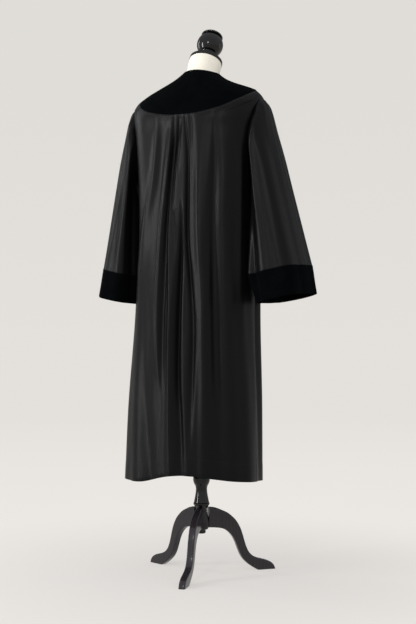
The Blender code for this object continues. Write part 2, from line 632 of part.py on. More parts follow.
def half_front_columns():
    """Column places of one front, from the centre to its side."""
    return np.linspace(0, 1, FRONT_COLUMNS)


def back():
    """Wide back panel with the pleats under the yoke."""
    grid, normals = panel_grid(back_columns(), math.pi / 2, BACK_FOLDS)
    wool(wall("back", grid, normals, CLOTH_WALL))


def fronts():
    """Two fronts: the left one passes over the right one at the centre."""
    lap = LAP_TURN / 90 * np.array([1, 0.5])
    middle = -math.pi / 2
    left_columns = np.concatenate([-lap, half_front_columns()])
    right_columns = -left_columns[::-1]
    left, left_normals = panel_grid(left_columns, middle, FRONT_FOLDS, lap=True)
    right, right_normals = panel_grid(right_columns, middle, FRONT_FOLDS)
    wool(wall("front_left", left, left_normals, CLOTH_WALL))
    wool(wall("front_right", right, right_normals, CLOTH_WALL))


def body_normal(turn, height):
    """Outward direction of the smooth tube."""
    step = 0.003
    across = body_point(turn + step, height) - body_point(turn - step, height)
    down = body_point(turn, height - step) - body_point(turn, height + step)
    return unit(np.cross(down, across))


def armhole_ring(angle, side):
    """Armhole on one side of the tube, and the tube's outward direction there."""
    height = ARMHOLE_MIDDLE + ARMHOLE_HALF * np.cos(angle)
    half_depth = np.where(np.sin(angle) > 0, ARMHOLE_BACK, ARMHOLE_FRONT)
    turn = side_turn(half_depth * np.sin(angle), height)
    turn = turn if side > 0 else math.pi - turn
    return body_point(turn, height), body_normal(turn, height)


def cuff_ring(angle, side, middle, half, corner):
    """Ring of the cuff, tilted with the sleeve: angle 0 is the outer side, 90 degrees the back."""
    c = np.cos(angle)
    s = np.sin(angle)
    sum_of_powers = np.abs(c / half[0]) ** CUFF_SQUARE + np.abs(s / half[1]) ** CUFF_SQUARE
    reach = sum_of_powers ** (-1 / CUFF_SQUARE)
    drawn = np.exp(-((np.degrees(angle) - CORNER_ANGLE) / CORNER_WIDE) ** 2)
    x = middle[0] + reach * c * math.cos(CUFF_TILT) - corner[0] * drawn
    z = middle[2] + reach * c * math.sin(CUFF_TILT)
    return points(side * x, middle[1] + reach * s + corner[1] * drawn, z)


def sleeve_base(angle, along, side, cuff):
    """Smooth sleeve: along is 0 at the armhole, 1 at the cuff's top and 2 at its end."""
    hole, out = armhole_ring(angle, side)
    hole = hole + out * SEAM_GAP * 1.5
    top = cuff_ring(angle, side, *cuff[0])
    end = cuff_ring(angle, side, *cuff[1])
    share = np.clip(along, 0, 1)[..., None]
    outer = np.maximum(np.cos(angle), 0)[..., None]
    under = np.maximum(-np.cos(angle), 0)[..., None]
    back = np.sin(angle)[..., None]
    bulge = np.array([side, 0, 0.25]) * SLEEVE_HEAD_BULGE * outer
    bulge = bulge + np.array([side, 0, 0]) * SLEEVE_UNDER_BULGE * under
    bulge = bulge + np.array([0.35 * side, 0, 0]) * SLEEVE_SIDE_BULGE * np.abs(back)
    bulge = bulge + np.array([0, 1, 0]) * SLEEVE_SIDE_BULGE * back * np.abs(back)
    swell = (1 - np.exp(-share / SLEEVE_BULGE_REACH)) * (1 - share) ** SLEEVE_BULGE_FADE
    arm = hole + (top - hole) * share + bulge * swell
    return arm + (end - top) * np.clip(along - 1, 0, 1)[..., None]


def sleeve_rise(folds, angle, along):
    """Sum of a sleeve's folds, and of the gathers at its head."""
    degrees = np.degrees(angle)
    share = np.clip(along, 0, 1)
    total = np.zeros(share.shape)
    for top, cuff, start, rise, half_width in folds:
        middle = top + (cuff - top) * share
        grow = ease((share - start * 0.3) / (start + SLEEVE_FOLD_GROW))
        total = total + rise * grow * np.exp(-((degrees - middle) / half_width) ** 2)
    from_top = (angle + math.pi) % (2 * math.pi) - math.pi
    wave = 0.5 + 0.5 * np.cos(from_top / GATHER_SPREAD * math.pi * GATHER_COUNT)
    head = ease((GATHER_SPREAD - np.abs(from_top)) / math.radians(15))
    length = ease((GATHER_LENGTH - share) / GATHER_LENGTH) * ease(share / 0.02)
    return total + GATHER_HEIGHT * wave * head * length


def sleeve(name, side, cuff, folds):
    """Sleeve and cuff of one side: 1 is the wearer's left, -1 the right."""
    along = np.array(SLEEVE_ROWS + tuple(1 + row for row in CUFF_ROWS[1:]))
    around = side * np.arange(SLEEVE_ROUND) * 2 * math.pi / SLEEVE_ROUND % (2 * math.pi)
    angle, share = np.meshgrid(around, along)
    base = sleeve_base(angle, share, side, cuff)
    normals = grid_normals(base, closed=True)
    _, out = armhole_ring(around, side)
    from_middle = base[0] - base[0].mean(axis=0)
    normals[0] = unit(from_middle - out * np.sum(from_middle * out, axis=1, keepdims=True))
    grid = base + normals * sleeve_rise(folds, angle, share)[..., None]
    cut = len(SLEEVE_ROWS)
    wool(wall("sleeve_" + name, grid[:cut], normals[:cut], CLOTH_WALL, closed=True))
    band = grid[cut - 1:].copy()
    band[0] += unit(band[1] - band[0]) * SEAM_GAP
    velvet(wall("cuff_" + name, band, normals[cut - 1:], VELVET_WALL, closed=True,
                proud=VELVET_PROUD))


def turned(name, profile, middle=(0, 0, 0), lean=0.0, around=STAND_ROUND):
    """Turned piece about its own axis: profile rows are height and radius, from the foot up."""
    heights = np.array(column(profile, 0))[::-1, None]
    radii = np.array(column(profile, 1))[::-1, None]
    angle = (np.arange(around) * 2 * math.pi / around)[None, :]
    rings = points(radii * np.cos(angle), radii * np.sin(angle), heights)
    piece = ringed(name, rings)
    piece.data.transform(Matrix.Translation(middle) @ Matrix.Rotation(lean, 4, "X"))
    return piece


def form_torso():
    """Dress form: neck, shoulders just inside the yoke, and a closed waist and hip shape."""
    turns = np.linspace(-math.pi / 2, 1.5 * math.pi, FORM_ROUND + 1)
    turn, under_yoke, normals = yoke_grid(turns)
    turn = turn[:, :-1]
    away = np.array(FORM_UNDER_YOKE)[:, None, None]
    rows = len(FORM_UNDER_YOKE)
    under_yoke = (under_yoke[:rows] - normals[:rows] * away)[:, :-1]
    around = turn[0]
    rings = []
    axis = np.array([0, -math.sin(NECK_LEAN), math.cos(NECK_LEAN)])
    across = np.array([0, math.cos(NECK_LEAN), math.sin(NECK_LEAN)])
    for down in NECK_RING_STEPS:
        centre = np.array(CAP_MIDDLE) - axis * down
        ring = centre + NECK_RADIUS * (np.cos(around)[:, None] * np.array([1, 0, 0])
                                       + np.sin(around)[:, None] * across)
        rings.append(ring)
    rings.extend(under_yoke)
    shoulder = under_yoke[-1]
    for share, level in FORM_SHOULDER_STEPS:
        height = shoulder[:, 2] + (level - shoulder[:, 2]) * share
        rings.append(form_ring(around, height))
    for height in FORM_LEVELS:
        rings.append(form_ring(around, np.full(around.shape, height)))
    finish(ringed("form_torso", np.array(rings)), (0.88, 0.80, 0.66), 0.9)


def form_ring(turn, height):
    """Ring of the dress form's torso at the given heights."""
    half_width, half_depth, middle_y = [table_value(FORM_SECTIONS, n, height) for n in (1, 2, 3)]
    c = np.cos(turn)
    s = np.sin(turn)
    sum_of_powers = np.abs(c / half_width) ** FORM_SQUARE + np.abs(s / half_depth) ** FORM_SQUARE
    reach = sum_of_powers ** (-1 / FORM_SQUARE)
    return points(reach * c, middle_y + reach * s, height)


def neck_cap():
    """Disc on the leaning neck, with soft edges."""
    half = CAP_THICK / 2
    profile = [(-half, CAP_RADIUS - CAP_EDGE), (-half + CAP_EDGE, CAP_RADIUS),
               (half - CAP_EDGE, CAP_RADIUS), (half, CAP_RADIUS - 2 * CAP_EDGE)]
    lacquer(turned("neck_cap", profile, CAP_MIDDLE, NECK_LEAN))


def knob():
    """Turned ball on a short waisted foot, with a domed disc on its top."""
    foot = CAP_THICK / 2 + TURNED_GAP
    profile = [(foot + height, radius) for height, radius in KNOB_FOOT]
    for angle in np.radians(KNOB_BALL_ANGLES):
        profile.append((KNOB_RISE + KNOB_RADIUS * math.sin(angle), KNOB_RADIUS * math.cos(angle)))
    profile.extend((KNOB_RISE + height, radius) for height, radius in KNOB_DISC)
    lacquer(turned("knob", profile, CAP_MIDDLE, NECK_LEAN))


def stand():
    """Pole, baluster and hub."""
    pole = [(BALUSTER_TOP + TURNED_GAP, POLE_RADIUS), (POLE_TOP, POLE_RADIUS)]
    finish(turned("pole", pole), (0.05, 0.05, 0.052), 0.35, 0.9)
    lacquer(turned("baluster", BALUSTER_PROFILE))
    lacquer(turned("hub", HUB_PROFILE))


def leg(number, turn_degrees):
    """Curved leg: an upright outline given its thickness, with rounded edges."""
    outline = LEG_OUTER + LEG_INNER
    count = len(outline)
    half = LEG_THICK / 2
    vertices = [(rho, side, z) for side in (-half, half) for rho, z in outline]
    faces = [tuple(range(count, 2 * count)), tuple(reversed(range(count)))]
    for i in range(count):
        k = (i + 1) % count
        faces.append((i, k, k + count, i + count))
    piece = solid("leg_" + str(number), vertices, faces)
    bevel = piece.modifiers.new("Rounded edges", "BEVEL")
    bevel.width = LEG_EDGE
    bevel.segments = 1
    bevel.limit_method = "ANGLE"
    bevel.angle_limit = math.radians(50)
    turn = math.radians(turn_degrees) - math.pi / 2
    piece.data.transform(Matrix.Rotation(turn, 4, "Z"))
    finish(piece, (0.02, 0.018, 0.02), 0.3)


def buttons():
    """Plain buttons on the front lap."""
    for number, height in enumerate(BUTTON_HEIGHTS, 1):
        turn = np.array(-math.pi / 2)
        level = np.array(height)
        out = body_normal(turn, level)
        seat = body_point(turn, level) + out * (LAP_RISE + BUTTON_GAP)
        profile = [(0, BUTTON_RADIUS - BUTTON_EDGE), (BUTTON_EDGE, BUTTON_RADIUS),
                   (BUTTON_THICK - BUTTON_EDGE, BUTTON_RADIUS),
                   (BUTTON_THICK, BUTTON_RADIUS - BUTTON_EDGE)]
        piece = turned("button_" + str(number), profile, around=BUTTON_ROUND)
        toward = Vector(out).to_track_quat("Z", "Y").to_matrix().to_4x4()
        piece.data.transform(Matrix.Translation(Vector(seat)) @ toward)
        finish(piece, (0.012, 0.012, 0.013), 0.35)


def stand_on_origin():
    """Move everything so that the origin is under the middle of the whole, on the floor."""
    pieces = list(bpy.context.scene.objects)
    corners = np.array([v.co for piece in pieces for v in piece.data.vertices])
    low = corners.min(axis=0)
    high = corners.max(axis=0)
    shift = Vector((-(low[0] + high[0]) / 2, -(low[1] + high[1]) / 2, -low[2]))
    for piece in pieces:
        piece.data.transform(Matrix.Translation(shift))


def main():
    for old in list(bpy.data.objects):
        bpy.data.objects.remove(old, do_unlink=True)
    yoke()
    back()
    fronts()
    sleeve("left", 1, LEFT_CUFF, LEFT_SLEEVE_FOLDS)
    sleeve("right", -1, RIGHT_CUFF, RIGHT_SLEEVE_FOLDS)
    buttons()
    form_torso()
    neck_cap()
    knob()
    stand()
    for number, turn in enumerate(LEG_TURNS, 1):
        leg(number, turn)
    stand_on_origin()


main()
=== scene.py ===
# %% [markdown]
# # Prosecutor robe on a dress form
#
# A long black court robe hangs on a cream dress form with a turned wooden stand. This scene
# dresses that model. Each cloth piece gets a finer sheet over its solid, with its creases,
# seams and stitches, each turned piece gets a rounder one, and every surface gets its own
# finish.
#
# All lengths are in metres. The wearer looks along -Y, and the wearer's left is +X.

import math

import bpy
import numpy as np
from mathutils import Matrix, Vector


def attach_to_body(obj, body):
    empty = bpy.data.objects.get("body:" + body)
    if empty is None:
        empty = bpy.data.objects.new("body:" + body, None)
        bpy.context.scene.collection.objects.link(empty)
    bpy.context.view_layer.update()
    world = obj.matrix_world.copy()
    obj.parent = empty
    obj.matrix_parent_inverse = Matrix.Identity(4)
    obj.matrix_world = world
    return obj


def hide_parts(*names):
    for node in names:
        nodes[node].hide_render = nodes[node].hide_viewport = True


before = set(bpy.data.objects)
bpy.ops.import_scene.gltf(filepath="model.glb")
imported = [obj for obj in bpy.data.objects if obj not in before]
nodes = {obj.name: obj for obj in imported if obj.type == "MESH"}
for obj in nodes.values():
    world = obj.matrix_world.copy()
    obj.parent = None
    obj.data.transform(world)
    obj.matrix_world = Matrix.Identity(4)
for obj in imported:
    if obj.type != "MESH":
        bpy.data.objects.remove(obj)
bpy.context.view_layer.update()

# %% [markdown]
# ## Camera
#
# The photograph looks at the robe's back from the wearer's right, at about the height of the
# form's bottom edge. The lens is level, which keeps upright lines parallel. The frame is 416
# by 624 pixels, so a 36 mm sensor lies along its long side. A slight shift puts the stand's
# pole a little left of the middle.

# %% Camera
POLE_X, POLE_Y = 0.0066, -0.0293
CAMERA_TURN = math.radians(207.0)
CAMERA_DISTANCE, CAMERA_HEIGHT = 3.97, 0.81
SENSOR, LENS = 36.0, 73.8               # millimetres
SHIFT_PIXELS, FRAME_HEIGHT = 6.5, 624   # pixels


def in_scene(name, data):
    """New object that shows the data in the scene."""
    item = bpy.data.objects.new(name, data)
    bpy.context.scene.collection.objects.link(item)
    return item


def turn_to(item, backwards):
    """Turns a camera or a lamp: it looks along its own -Z, so +Z goes backwards."""
    item.rotation_mode = "QUATERNION"
    item.rotation_quaternion = backwards.to_track_quat("Z", "Y")


camera_data = bpy.data.cameras.new("camera")
camera_data.sensor_width = SENSOR
camera_data.lens = LENS
camera_data.shift_x = SHIFT_PIXELS / FRAME_HEIGHT
camera = in_scene("camera", camera_data)
toward_camera = Vector((math.sin(CAMERA_TURN), -math.cos(CAMERA_TURN), 0.0))
to_right = Vector((math.cos(CAMERA_TURN), math.sin(CAMERA_TURN), 0.0))
pole = Vector((POLE_X, POLE_Y, 0.0))
camera.location = pole + toward_camera * CAMERA_DISTANCE + Vector((0, 0, CAMERA_HEIGHT))
turn_to(camera, toward_camera)
bpy.context.scene.camera = camera
bpy.context.scene.view_settings.view_transform = "Standard"
print("camera at", camera.location[:])

# %% [markdown]
# ## Mesh helpers
#
# A sheet of cloth, a turned knob and a curved leg are all surfaces over a grid: one parameter
# runs along the rows and one along the columns. The points come as whole numpy arrays, so a
# fold is one formula for every point at once. `grid_faces` joins the grid's points with
# quads, and `make_object` turns arrays into a Blender object.

# %% Grid helpers
def grid_faces(rows, cols, closed=False):
    """Quads of a grid: each point is joined with the next one in its row and column.

    With closed the last column is joined with the first one.
    """
    i, j = np.meshgrid(np.arange(rows - 1), np.arange(cols if closed else cols - 1), indexing="ij")
    right = (j + 1) % cols
    corners = [i * cols + j, (i + 1) * cols + j, (i + 1) * cols + right, i * cols + right]
    return np.stack(corners, axis=-1).reshape(-1, 4)


def tube_faces(rows, cols):
    """Quads round a closed tube, and one many-sided face at each end."""
    count = rows * cols
    ends = [list(range(cols)), list(range(count - cols, count))[::-1]]
    return grid_faces(rows, cols, closed=True).tolist() + ends


def pole_faces(rows, cols):
    """Triangles from a tube's first and last ring to the two points listed after its rings."""
    ring, last = np.arange(cols), (rows - 1) * cols
    after = np.roll(ring, -1)
    top = np.stack([np.full(cols, rows * cols), ring, after], axis=1)
    foot = np.stack([np.full(cols, rows * cols + 1), last + after, last + ring], axis=1)
    return top.tolist() + foot.tolist()


def full_turn(count):
    """Evenly spaced angles all round: 2 pi times number divided by count."""
    return np.arange(count) * 2 * math.pi / count


def make_object(name, vertices, faces, uv=None, sharp=60):
    """Object from an array of points and a list of faces, shaded smooth.

    uv is an array with one (u, v) for each corner of each face, in the faces' order.
    """
    mesh = bpy.data.meshes.new(name)
    mesh.from_pydata(np.asarray(vertices).reshape(-1, 3).tolist(), [], [list(f) for f in faces])
    if uv is not None:
        layer = mesh.uv_layers.new(name="cut")
        layer.uv.foreach_set("vector", np.asarray(uv, np.float32).ravel())
    mesh.shade_smooth()
    mesh.set_sharp_from_angle(angle=math.radians(sharp))
    return in_scene(name, mesh)


def unit(vectors):
    """Each vector divided by its length."""
    return vectors / np.maximum(np.linalg.norm(vectors, axis=-1, keepdims=True), 1e-12)


def points(x, y, z):
    """Three arrays stacked as points."""
    return np.stack(np.broadcast_arrays(x, y, z), axis=-1)


def ease(value):
    """Smooth step: 0 below 0, 1 above 1, and 3 v squared minus 2 v cubed between."""
    value = np.clip(value, 0.0, 1.0)
    return value * value * (3 - 2 * value)


def length_along(line):
    """Length run at each point of a line, from 0 at its start."""
    return np.concatenate([[0], np.cumsum(np.linalg.norm(np.diff(line, axis=0), axis=1))])


def cubic(start, end, leave, arrive, s):
    """Cubic piece at a share s of its way: two places and two slopes, each with its weight."""
    begin = start * (1 + 2 * s) * (1 - s) ** 2 + leave * s * (1 - s) ** 2
    return begin + end * s * s * (3 - 2 * s) + arrive * s * s * (s - 1)


def through(keys, values, at):
    """Smooth curve through the points (key, value): cubic pieces with three-point slopes."""
    keys, values = np.asarray(keys, float), np.asarray(values, float)
    slopes = np.gradient(values, keys)
    at = np.clip(at, keys[0], keys[-1])
    i = np.clip(np.searchsorted(keys, at) - 1, 0, len(keys) - 2)
    step = keys[i + 1] - keys[i]
    share = (at - keys[i]) / step
    return cubic(values[i], values[i + 1], step * slopes[i], step * slopes[i + 1], share)


def read_table(table, at):
    """Every other column of a table, read smoothly at values of its first column."""
    keys, *columns = zip(*table)
    return [through(keys, values, at) for values in columns]


print("helpers ready")

# %% [markdown]
# ## A sheet of cloth
#
# Cloth is thin but not a bare surface: at a hem or a cuff its folded edge shows as a soft
# roll. `cloth` takes the grid of the outer side and its normals, adds an inner side, and joins
# the two along the edges with a half round. It also stores the place on the flat cut, in
# metres, as a UV map, so that the weave follows the folds.

# %% Cloth helper
def edge_loop(rows, cols, closed):
    """Numbers of the points along a grid's edges, in order, and of the points next to them."""
    index = np.arange(rows * cols).reshape(rows, cols)
    if closed:
        return [(index[0], index[1]), (index[-1][::-1], index[-2][::-1])]
    edge = np.concatenate([index[0, :-1], index[:-1, -1], index[-1, :0:-1], index[:0:-1, 0]])
    inset = index[1:-1, 1:-1]
    inset = np.pad(inset, 1, mode="edge")
    next_to = np.concatenate([inset[0, :-1], inset[:-1, -1], inset[-1, :0:-1], inset[:0:-1, 0]])
    return [(edge, next_to)]


def cloth(name, outer, normals, thick, closed=False, roll=4):
    """Thin shell over a grid, with rolled edges.

    Inner side: outer point minus normal times thick. Roll: middle of the wall plus half the
    thickness times (normal times cos(a) + outward edge direction times sin(a)), a from 0 to pi.
    """
    rows, cols = outer.shape[:2]
    count = rows * cols
    flat_outer, flat_normal = outer.reshape(-1, 3), normals.reshape(-1, 3)
    middle_row = outer[rows // 2]
    u = length_along(np.append(middle_row, middle_row[:1], axis=0))
    v = length_along(outer[:, cols // 2])
    outside = grid_faces(rows, cols, closed)
    vertices = [flat_outer, flat_outer - flat_normal * thick]
    faces = [outside, outside[:, ::-1] + count]
    row, column = outside[:, 0] // cols, outside[:, 0] % cols
    quad_uv = np.stack([points(u[column + du], -v[row + dv], 0)[:, :2]
                        for du, dv in ((0, 0), (0, 1), (1, 1), (1, 0))], axis=1)
    uv = [quad_uv, quad_uv[:, ::-1]]
    place = points(np.tile(u[:cols], rows), -np.repeat(v, cols), 0)[:, :2]
    offset = 2 * count
    for edge, next_to in edge_loop(rows, cols, closed):
        n = flat_normal[edge]
        out = flat_outer[edge] - flat_outer[next_to]
        out = unit(out - n * np.sum(out * n, axis=1, keepdims=True))
        angle = (np.arange(1, roll) * math.pi / roll)[:, None, None]
        middle = flat_outer[edge] - n * thick / 2
        arc = middle + (n * np.cos(angle) + out * np.sin(angle)) * thick / 2
        vertices.append(arc.reshape(-1, 3))
        size = len(edge)
        ring = np.concatenate([edge[None], offset + np.arange((roll - 1) * size).reshape(-1, size),
                               edge[None] + count])
        after = np.roll(ring, -1, axis=1)
        strip = np.stack([ring[:-1], after[:-1], after[1:], ring[1:]], axis=-1).reshape(-1, 4)
        faces.append(strip)
        here = place[edge]
        there = np.roll(here, -1, axis=0)
        there[-1] = here[-1]
        uv.append(np.tile(np.stack([here, there, there, here], axis=1), (roll, 1, 1)))
        offset += (roll - 1) * size
    piece = make_object(name, np.concatenate(vertices), np.concatenate(faces), np.concatenate(uv))
    sheet = np.append(outer, outer[:, :1], axis=1) if closed else outer
    across, down = np.diff(sheet, axis=1), np.diff(sheet, axis=0)
    area = np.linalg.norm(np.cross(across[:-1], down[:, :-1]), axis=-1).sum()
    widest = np.linalg.norm(across, axis=2).sum(axis=1).max()
    longest = np.linalg.norm(down, axis=2).sum(axis=0).max()
    print(name, "area", round(float(area), 3), "widest", round(float(widest), 3),
          "longest", round(float(longest), 3), "triangles", 2 * len(piece.data.polygons))
    return piece


def grid_normals(grid, closed=False):
    """Outward normals: the direction down the rows crossed with the direction along them."""
    down = np.gradient(grid, axis=0)
    if closed:
        along = np.roll(grid, -1, axis=1) - np.roll(grid, 1, axis=1)
    else:
        along = np.gradient(grid, axis=1)
    return unit(np.cross(down, along))


def attach(piece, material):
    """A piece rides with the object and gets its finish."""
    piece.data.materials.append(material)
    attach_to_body(piece, "root")


def dress(piece, node, material):
    """The same for a piece that stands for a solid."""
    attach(piece, material)
    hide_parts(node)


print("cloth helper ready")

# %% [markdown]
# ## Finishes
#
# The robe is a matte black wool blend: dark fibres, a fine twill line and a faint bloom of
# light at grazing angles. Velvet swallows light even more, with a soft nap that lies in
# patches. The form wears cream jersey, the turned wood is glossy black lacquer. Each finish is
# a node material whose pattern has the real scale. On cloth it reads the cut's own UV map in
# metres, elsewhere the piece's own place.

# %% Material helpers
def add(tree, kind, links=(), **values):
    """Node of a kind with some values set; links are (input name, socket to join it to)."""
    node = tree.nodes.new("ShaderNode" + kind)
    for key, value in values.items():
        if hasattr(node, key):
            setattr(node, key, value)
        else:
            node.inputs[key.replace("_", " ")].default_value = value
    for name, socket in links:
        tree.links.new(socket, node.inputs[name])
    return node


def mixed(tree, factor, dark, light):
    """Colour between two, by a socket from 0 to 1."""
    ramp = add(tree, "ValToRGB", [("Fac", factor)])
    for element, colour in zip(ramp.color_ramp.elements, (dark, light)):
        element.color = (*colour, 1)
    return ramp.outputs["Color"]


class Finish:
    """A material with a Principled shader, and the patterns that feed its sockets."""

    def __init__(self, name, colour, roughness, on="Object", **sockets):
        """Sockets that stay the same all over are set here; on is UV for the cut's own map."""
        self.material = bpy.data.materials.new(name)
        self.material.use_nodes = True
        self.tree = self.material.node_tree
        self.shader = self.tree.nodes["Principled BSDF"]
        self.shader.inputs["Base Color"].default_value = (*colour, 1)
        self.shader.inputs["Roughness"].default_value = roughness
        for socket, value in sockets.items():
            self.shader.inputs[socket.replace("_", " ")].default_value = value
        if on == "UV":
            self.place = add(self.tree, "UVMap", uv_map="cut").outputs["UV"]
        else:
            self.place = add(self.tree, "TexCoord").outputs["Object"]

    def pattern(self, kind, **values):
        """Socket with a noise or a wave from 0 to 1 over the piece; Scale is per metre."""
        return add(self.tree, "Tex" + kind, [("Vector", self.place)], **values).outputs["Fac"]

    def combined(self, one, other, operation):
        """Socket with the sum or the product of two."""
        return add(self.tree, "Math", [(0, one), (1, other)], operation=operation).outputs[0]

    def colour(self, factor, dark, light):
        """Base colour from dark to light, by a socket."""
        self.tree.links.new(mixed(self.tree, factor, dark, light),
                            self.shader.inputs["Base Color"])

    def roughness(self, factor, low, high):
        """Roughness from low to high, by a socket."""
        spread = add(self.tree, "MapRange", [("Value", factor)], To_Min=low, To_Max=high)
        self.tree.links.new(spread.outputs["Result"], self.shader.inputs["Roughness"])

    def bump(self, height, strength, distance):
        """Small relief of a height in metres, by a socket."""
        relief = add(self.tree, "Bump", [("Height", height)], Strength=strength,
                     Distance=distance)
        self.tree.links.new(relief.outputs["Normal"], self.shader.inputs["Normal"])


print("material helpers ready")

# %% Wool and velvet
def wool_finish():
    """Twill line 0.9 mm apart, yarn slubs, a slow change of tone, light at grazing angles."""
    wool = Finish("robe_wool", (0.0100, 0.0092, 0.0100), 0.40, "UV", IOR=1.18,
                  Specular_IOR_Level=0.68)
    twill = wool.pattern("Wave", bands_direction="DIAGONAL", Scale=698.0, Distortion=0.6,
                         Detail=1.0)
    yarn = wool.pattern("Noise", Scale=900.0, Detail=2.0)
    tone = wool.pattern("Noise", Scale=7.0, Detail=3.0)
    fibre = wool.pattern("Noise", Scale=240.0, Detail=3.0)
    wool.colour(wool.combined(tone, fibre, "MULTIPLY"), (0.0021, 0.0020, 0.0024),
                (0.0046, 0.0043, 0.0050))
    wool.roughness(fibre, 0.30, 0.42)
    wool.bump(wool.combined(twill, yarn, "ADD"), 0.35, 0.00012)
    return wool.material


def velvet_finish():
    """Deep black pile: fine nap, brushed patches that lie in slightly different ways."""
    velvet = Finish("velvet", (0.0010, 0.0010, 0.0012), 1.0, "UV", Specular_IOR_Level=0.012,
                    Sheen_Weight=0.006, Sheen_Roughness=0.45, Sheen_Tint=(0.85, 0.97, 1.0, 1))
    nap = velvet.pattern("Noise", Scale=1800.0, Detail=2.0)
    brushed = velvet.pattern("Noise", Scale=22.0, Detail=4.0, Distortion=0.8)
    velvet.colour(brushed, (0.0007, 0.0010, 0.0012), (0.0023, 0.0027, 0.0031))
    velvet.bump(velvet.combined(brushed, nap, "ADD"), 0.5, 0.0004)
    return velvet.material


WOOL = wool_finish()
VELVET = velvet_finish()
print("cloth finishes", WOOL.name, VELVET.name)

# %% Jersey, lacquer, steel and thread
def jersey_finish():
    """Cream jersey: rows of knit stitches 1.5 mm apart round the neck, and a soft mottling."""
    jersey = Finish("cream_jersey", (0.86, 0.79, 0.66), 0.85, Specular_IOR_Level=0.25,
                    Sheen_Weight=0.25, Sheen_Roughness=0.5)
    courses = jersey.pattern("Wave", bands_direction="Z", Scale=209.0, Distortion=0.4)
    wales = jersey.pattern("Wave", bands_direction="DIAGONAL", Scale=420.0, Distortion=0.8)
    jersey.colour(jersey.pattern("Noise", Scale=30.0, Detail=4.0), (0.90, 0.84, 0.71),
                  (0.97, 0.92, 0.80))
    jersey.bump(jersey.combined(courses, wales, "ADD"), 0.4, 0.0002)
    return jersey.material


def lacquer_finish(name, colour, roughness, ripple):
    """Black lacquer on wood: faint ripple of the brushed coat, fine grain under it, dust."""
    lacquer = Finish(name, colour, roughness, Specular_IOR_Level=0.30, Coat_Weight=0.10,
                     Coat_Roughness=0.08)
    grain = lacquer.pattern("Wave", bands_direction="X", Scale=40.0, Distortion=5.0, Detail=3.0,
                            Detail_Scale=2.0)
    lacquer.colour(grain, [0.85 * value for value in colour], [1.25 * value for value in colour])
    lacquer.roughness(lacquer.pattern("Noise", Scale=420.0, Detail=3.0), roughness * 0.75,
                      roughness * 1.35)
    lacquer.bump(lacquer.pattern("Noise", Scale=90.0, Detail=2.0), ripple, 0.0006)
    return lacquer.material


def steel_finish():
    """Satin dark steel with fine marks along the pole."""
    steel = Finish("pole_steel", (0.05, 0.05, 0.052), 0.35, Metallic=0.9)
    stretched = add(steel.tree, "Mapping", [("Vector", steel.place)])
    stretched.inputs["Scale"].default_value = (900, 900, 12)
    steel.place = stretched.outputs[0]
    marks = steel.pattern("Noise", Scale=1.0, Detail=3.0)
    steel.roughness(marks, 0.25, 0.5)
    steel.colour(marks, (0.035, 0.035, 0.037), (0.07, 0.07, 0.073))
    return steel.material


def thread_finish():
    """Black polyester thread with its twist."""
    thread = Finish("black_thread", (0.012, 0.011, 0.012), 0.5, Sheen_Weight=0.15)
    thread.colour(thread.pattern("Wave", bands_direction="DIAGONAL", Scale=900.0),
                  (0.008, 0.008, 0.008), (0.022, 0.021, 0.022))
    return thread.material


JERSEY = jersey_finish()
LACQUER = lacquer_finish("black_lacquer", (0.0030, 0.0027, 0.0030), 0.13, 0.02)
LEG_LACQUER = lacquer_finish("leg_lacquer", (0.020, 0.0165, 0.020), 0.20, 0.03)
BUTTON = lacquer_finish("button_black", (0.008, 0.008, 0.009), 0.28, 0.05)
STEEL = steel_finish()
THREAD = thread_finish()
print("finishes", [m.name for m in bpy.data.materials])

# %% [markdown]
# ## The robe's shape
#
# A hanging robe is nearly a tube. Its body here is a tube of rounded sections, listed by
# height, and a point on it is named by a turn and a height: turn 0 is the wearer's left side
# and 90 degrees the centre back. The tables are the same ones as in the solid model, so that
# the fine sheets lie on the solids. A turn is easier to place a fold with than x and y.

# %% Body tube
# columns: height, half width, half depth, middle x, middle y, squareness
BODY_SECTIONS = (
    (0.290, 0.214, 0.156, 0.008, 0.040, 2.10),
    (0.500, 0.207, 0.151, 0.006, 0.034, 2.15),
    (0.830, 0.191, 0.144, 0.002, 0.026, 2.25),
    (1.100, 0.191, 0.139, 0.001, 0.012, 2.45),
    (1.250, 0.196, 0.135, 0.001, 0.005, 2.70),
    (1.360, 0.203, 0.132, 0.003, 0.002, 2.80),
    (1.420, 0.210, 0.129, 0.005, 0.000, 2.70),
    (1.450, 0.213, 0.112, 0.006, 0.000, 2.40),
    (1.472, 0.205, 0.074, 0.007, 0.000, 2.10),
    (1.486, 0.191, 0.020, 0.008, 0.000, 2.00),
)
FULL_DEPTH = 0.140
HEM_HEIGHT = 0.296
SEAM_GAP = 0.0004
POLE = np.array([POLE_X, POLE_Y, 0.0])


def oval_reach(c, s, half_width, half_depth, square):
    """Superellipse: distance from its middle = (|c/w|^p + |s/d|^p)^(-1/p)."""
    return (np.abs(c / half_width) ** square + np.abs(s / half_depth) ** square) ** (-1 / square)


def body_point(turn, height):
    """Superellipse of the tube's section, drawn at full depth and then pressed flatter."""
    half_width, half_depth, middle_x, middle_y, square = read_table(BODY_SECTIONS, height)
    c, s = np.cos(turn), np.sin(turn)
    reach = oval_reach(c, s, half_width, FULL_DEPTH, square)
    return points(middle_x + reach * c, middle_y + reach * s * half_depth / FULL_DEPTH, height)


def body_normal(turn, height):
    """Outward direction of the tube, from two small steps on it."""
    across = body_point(turn + 0.003, height) - body_point(turn - 0.003, height)
    down = body_point(turn, height - 0.003) - body_point(turn, height + 0.003)
    return unit(np.cross(down, across))


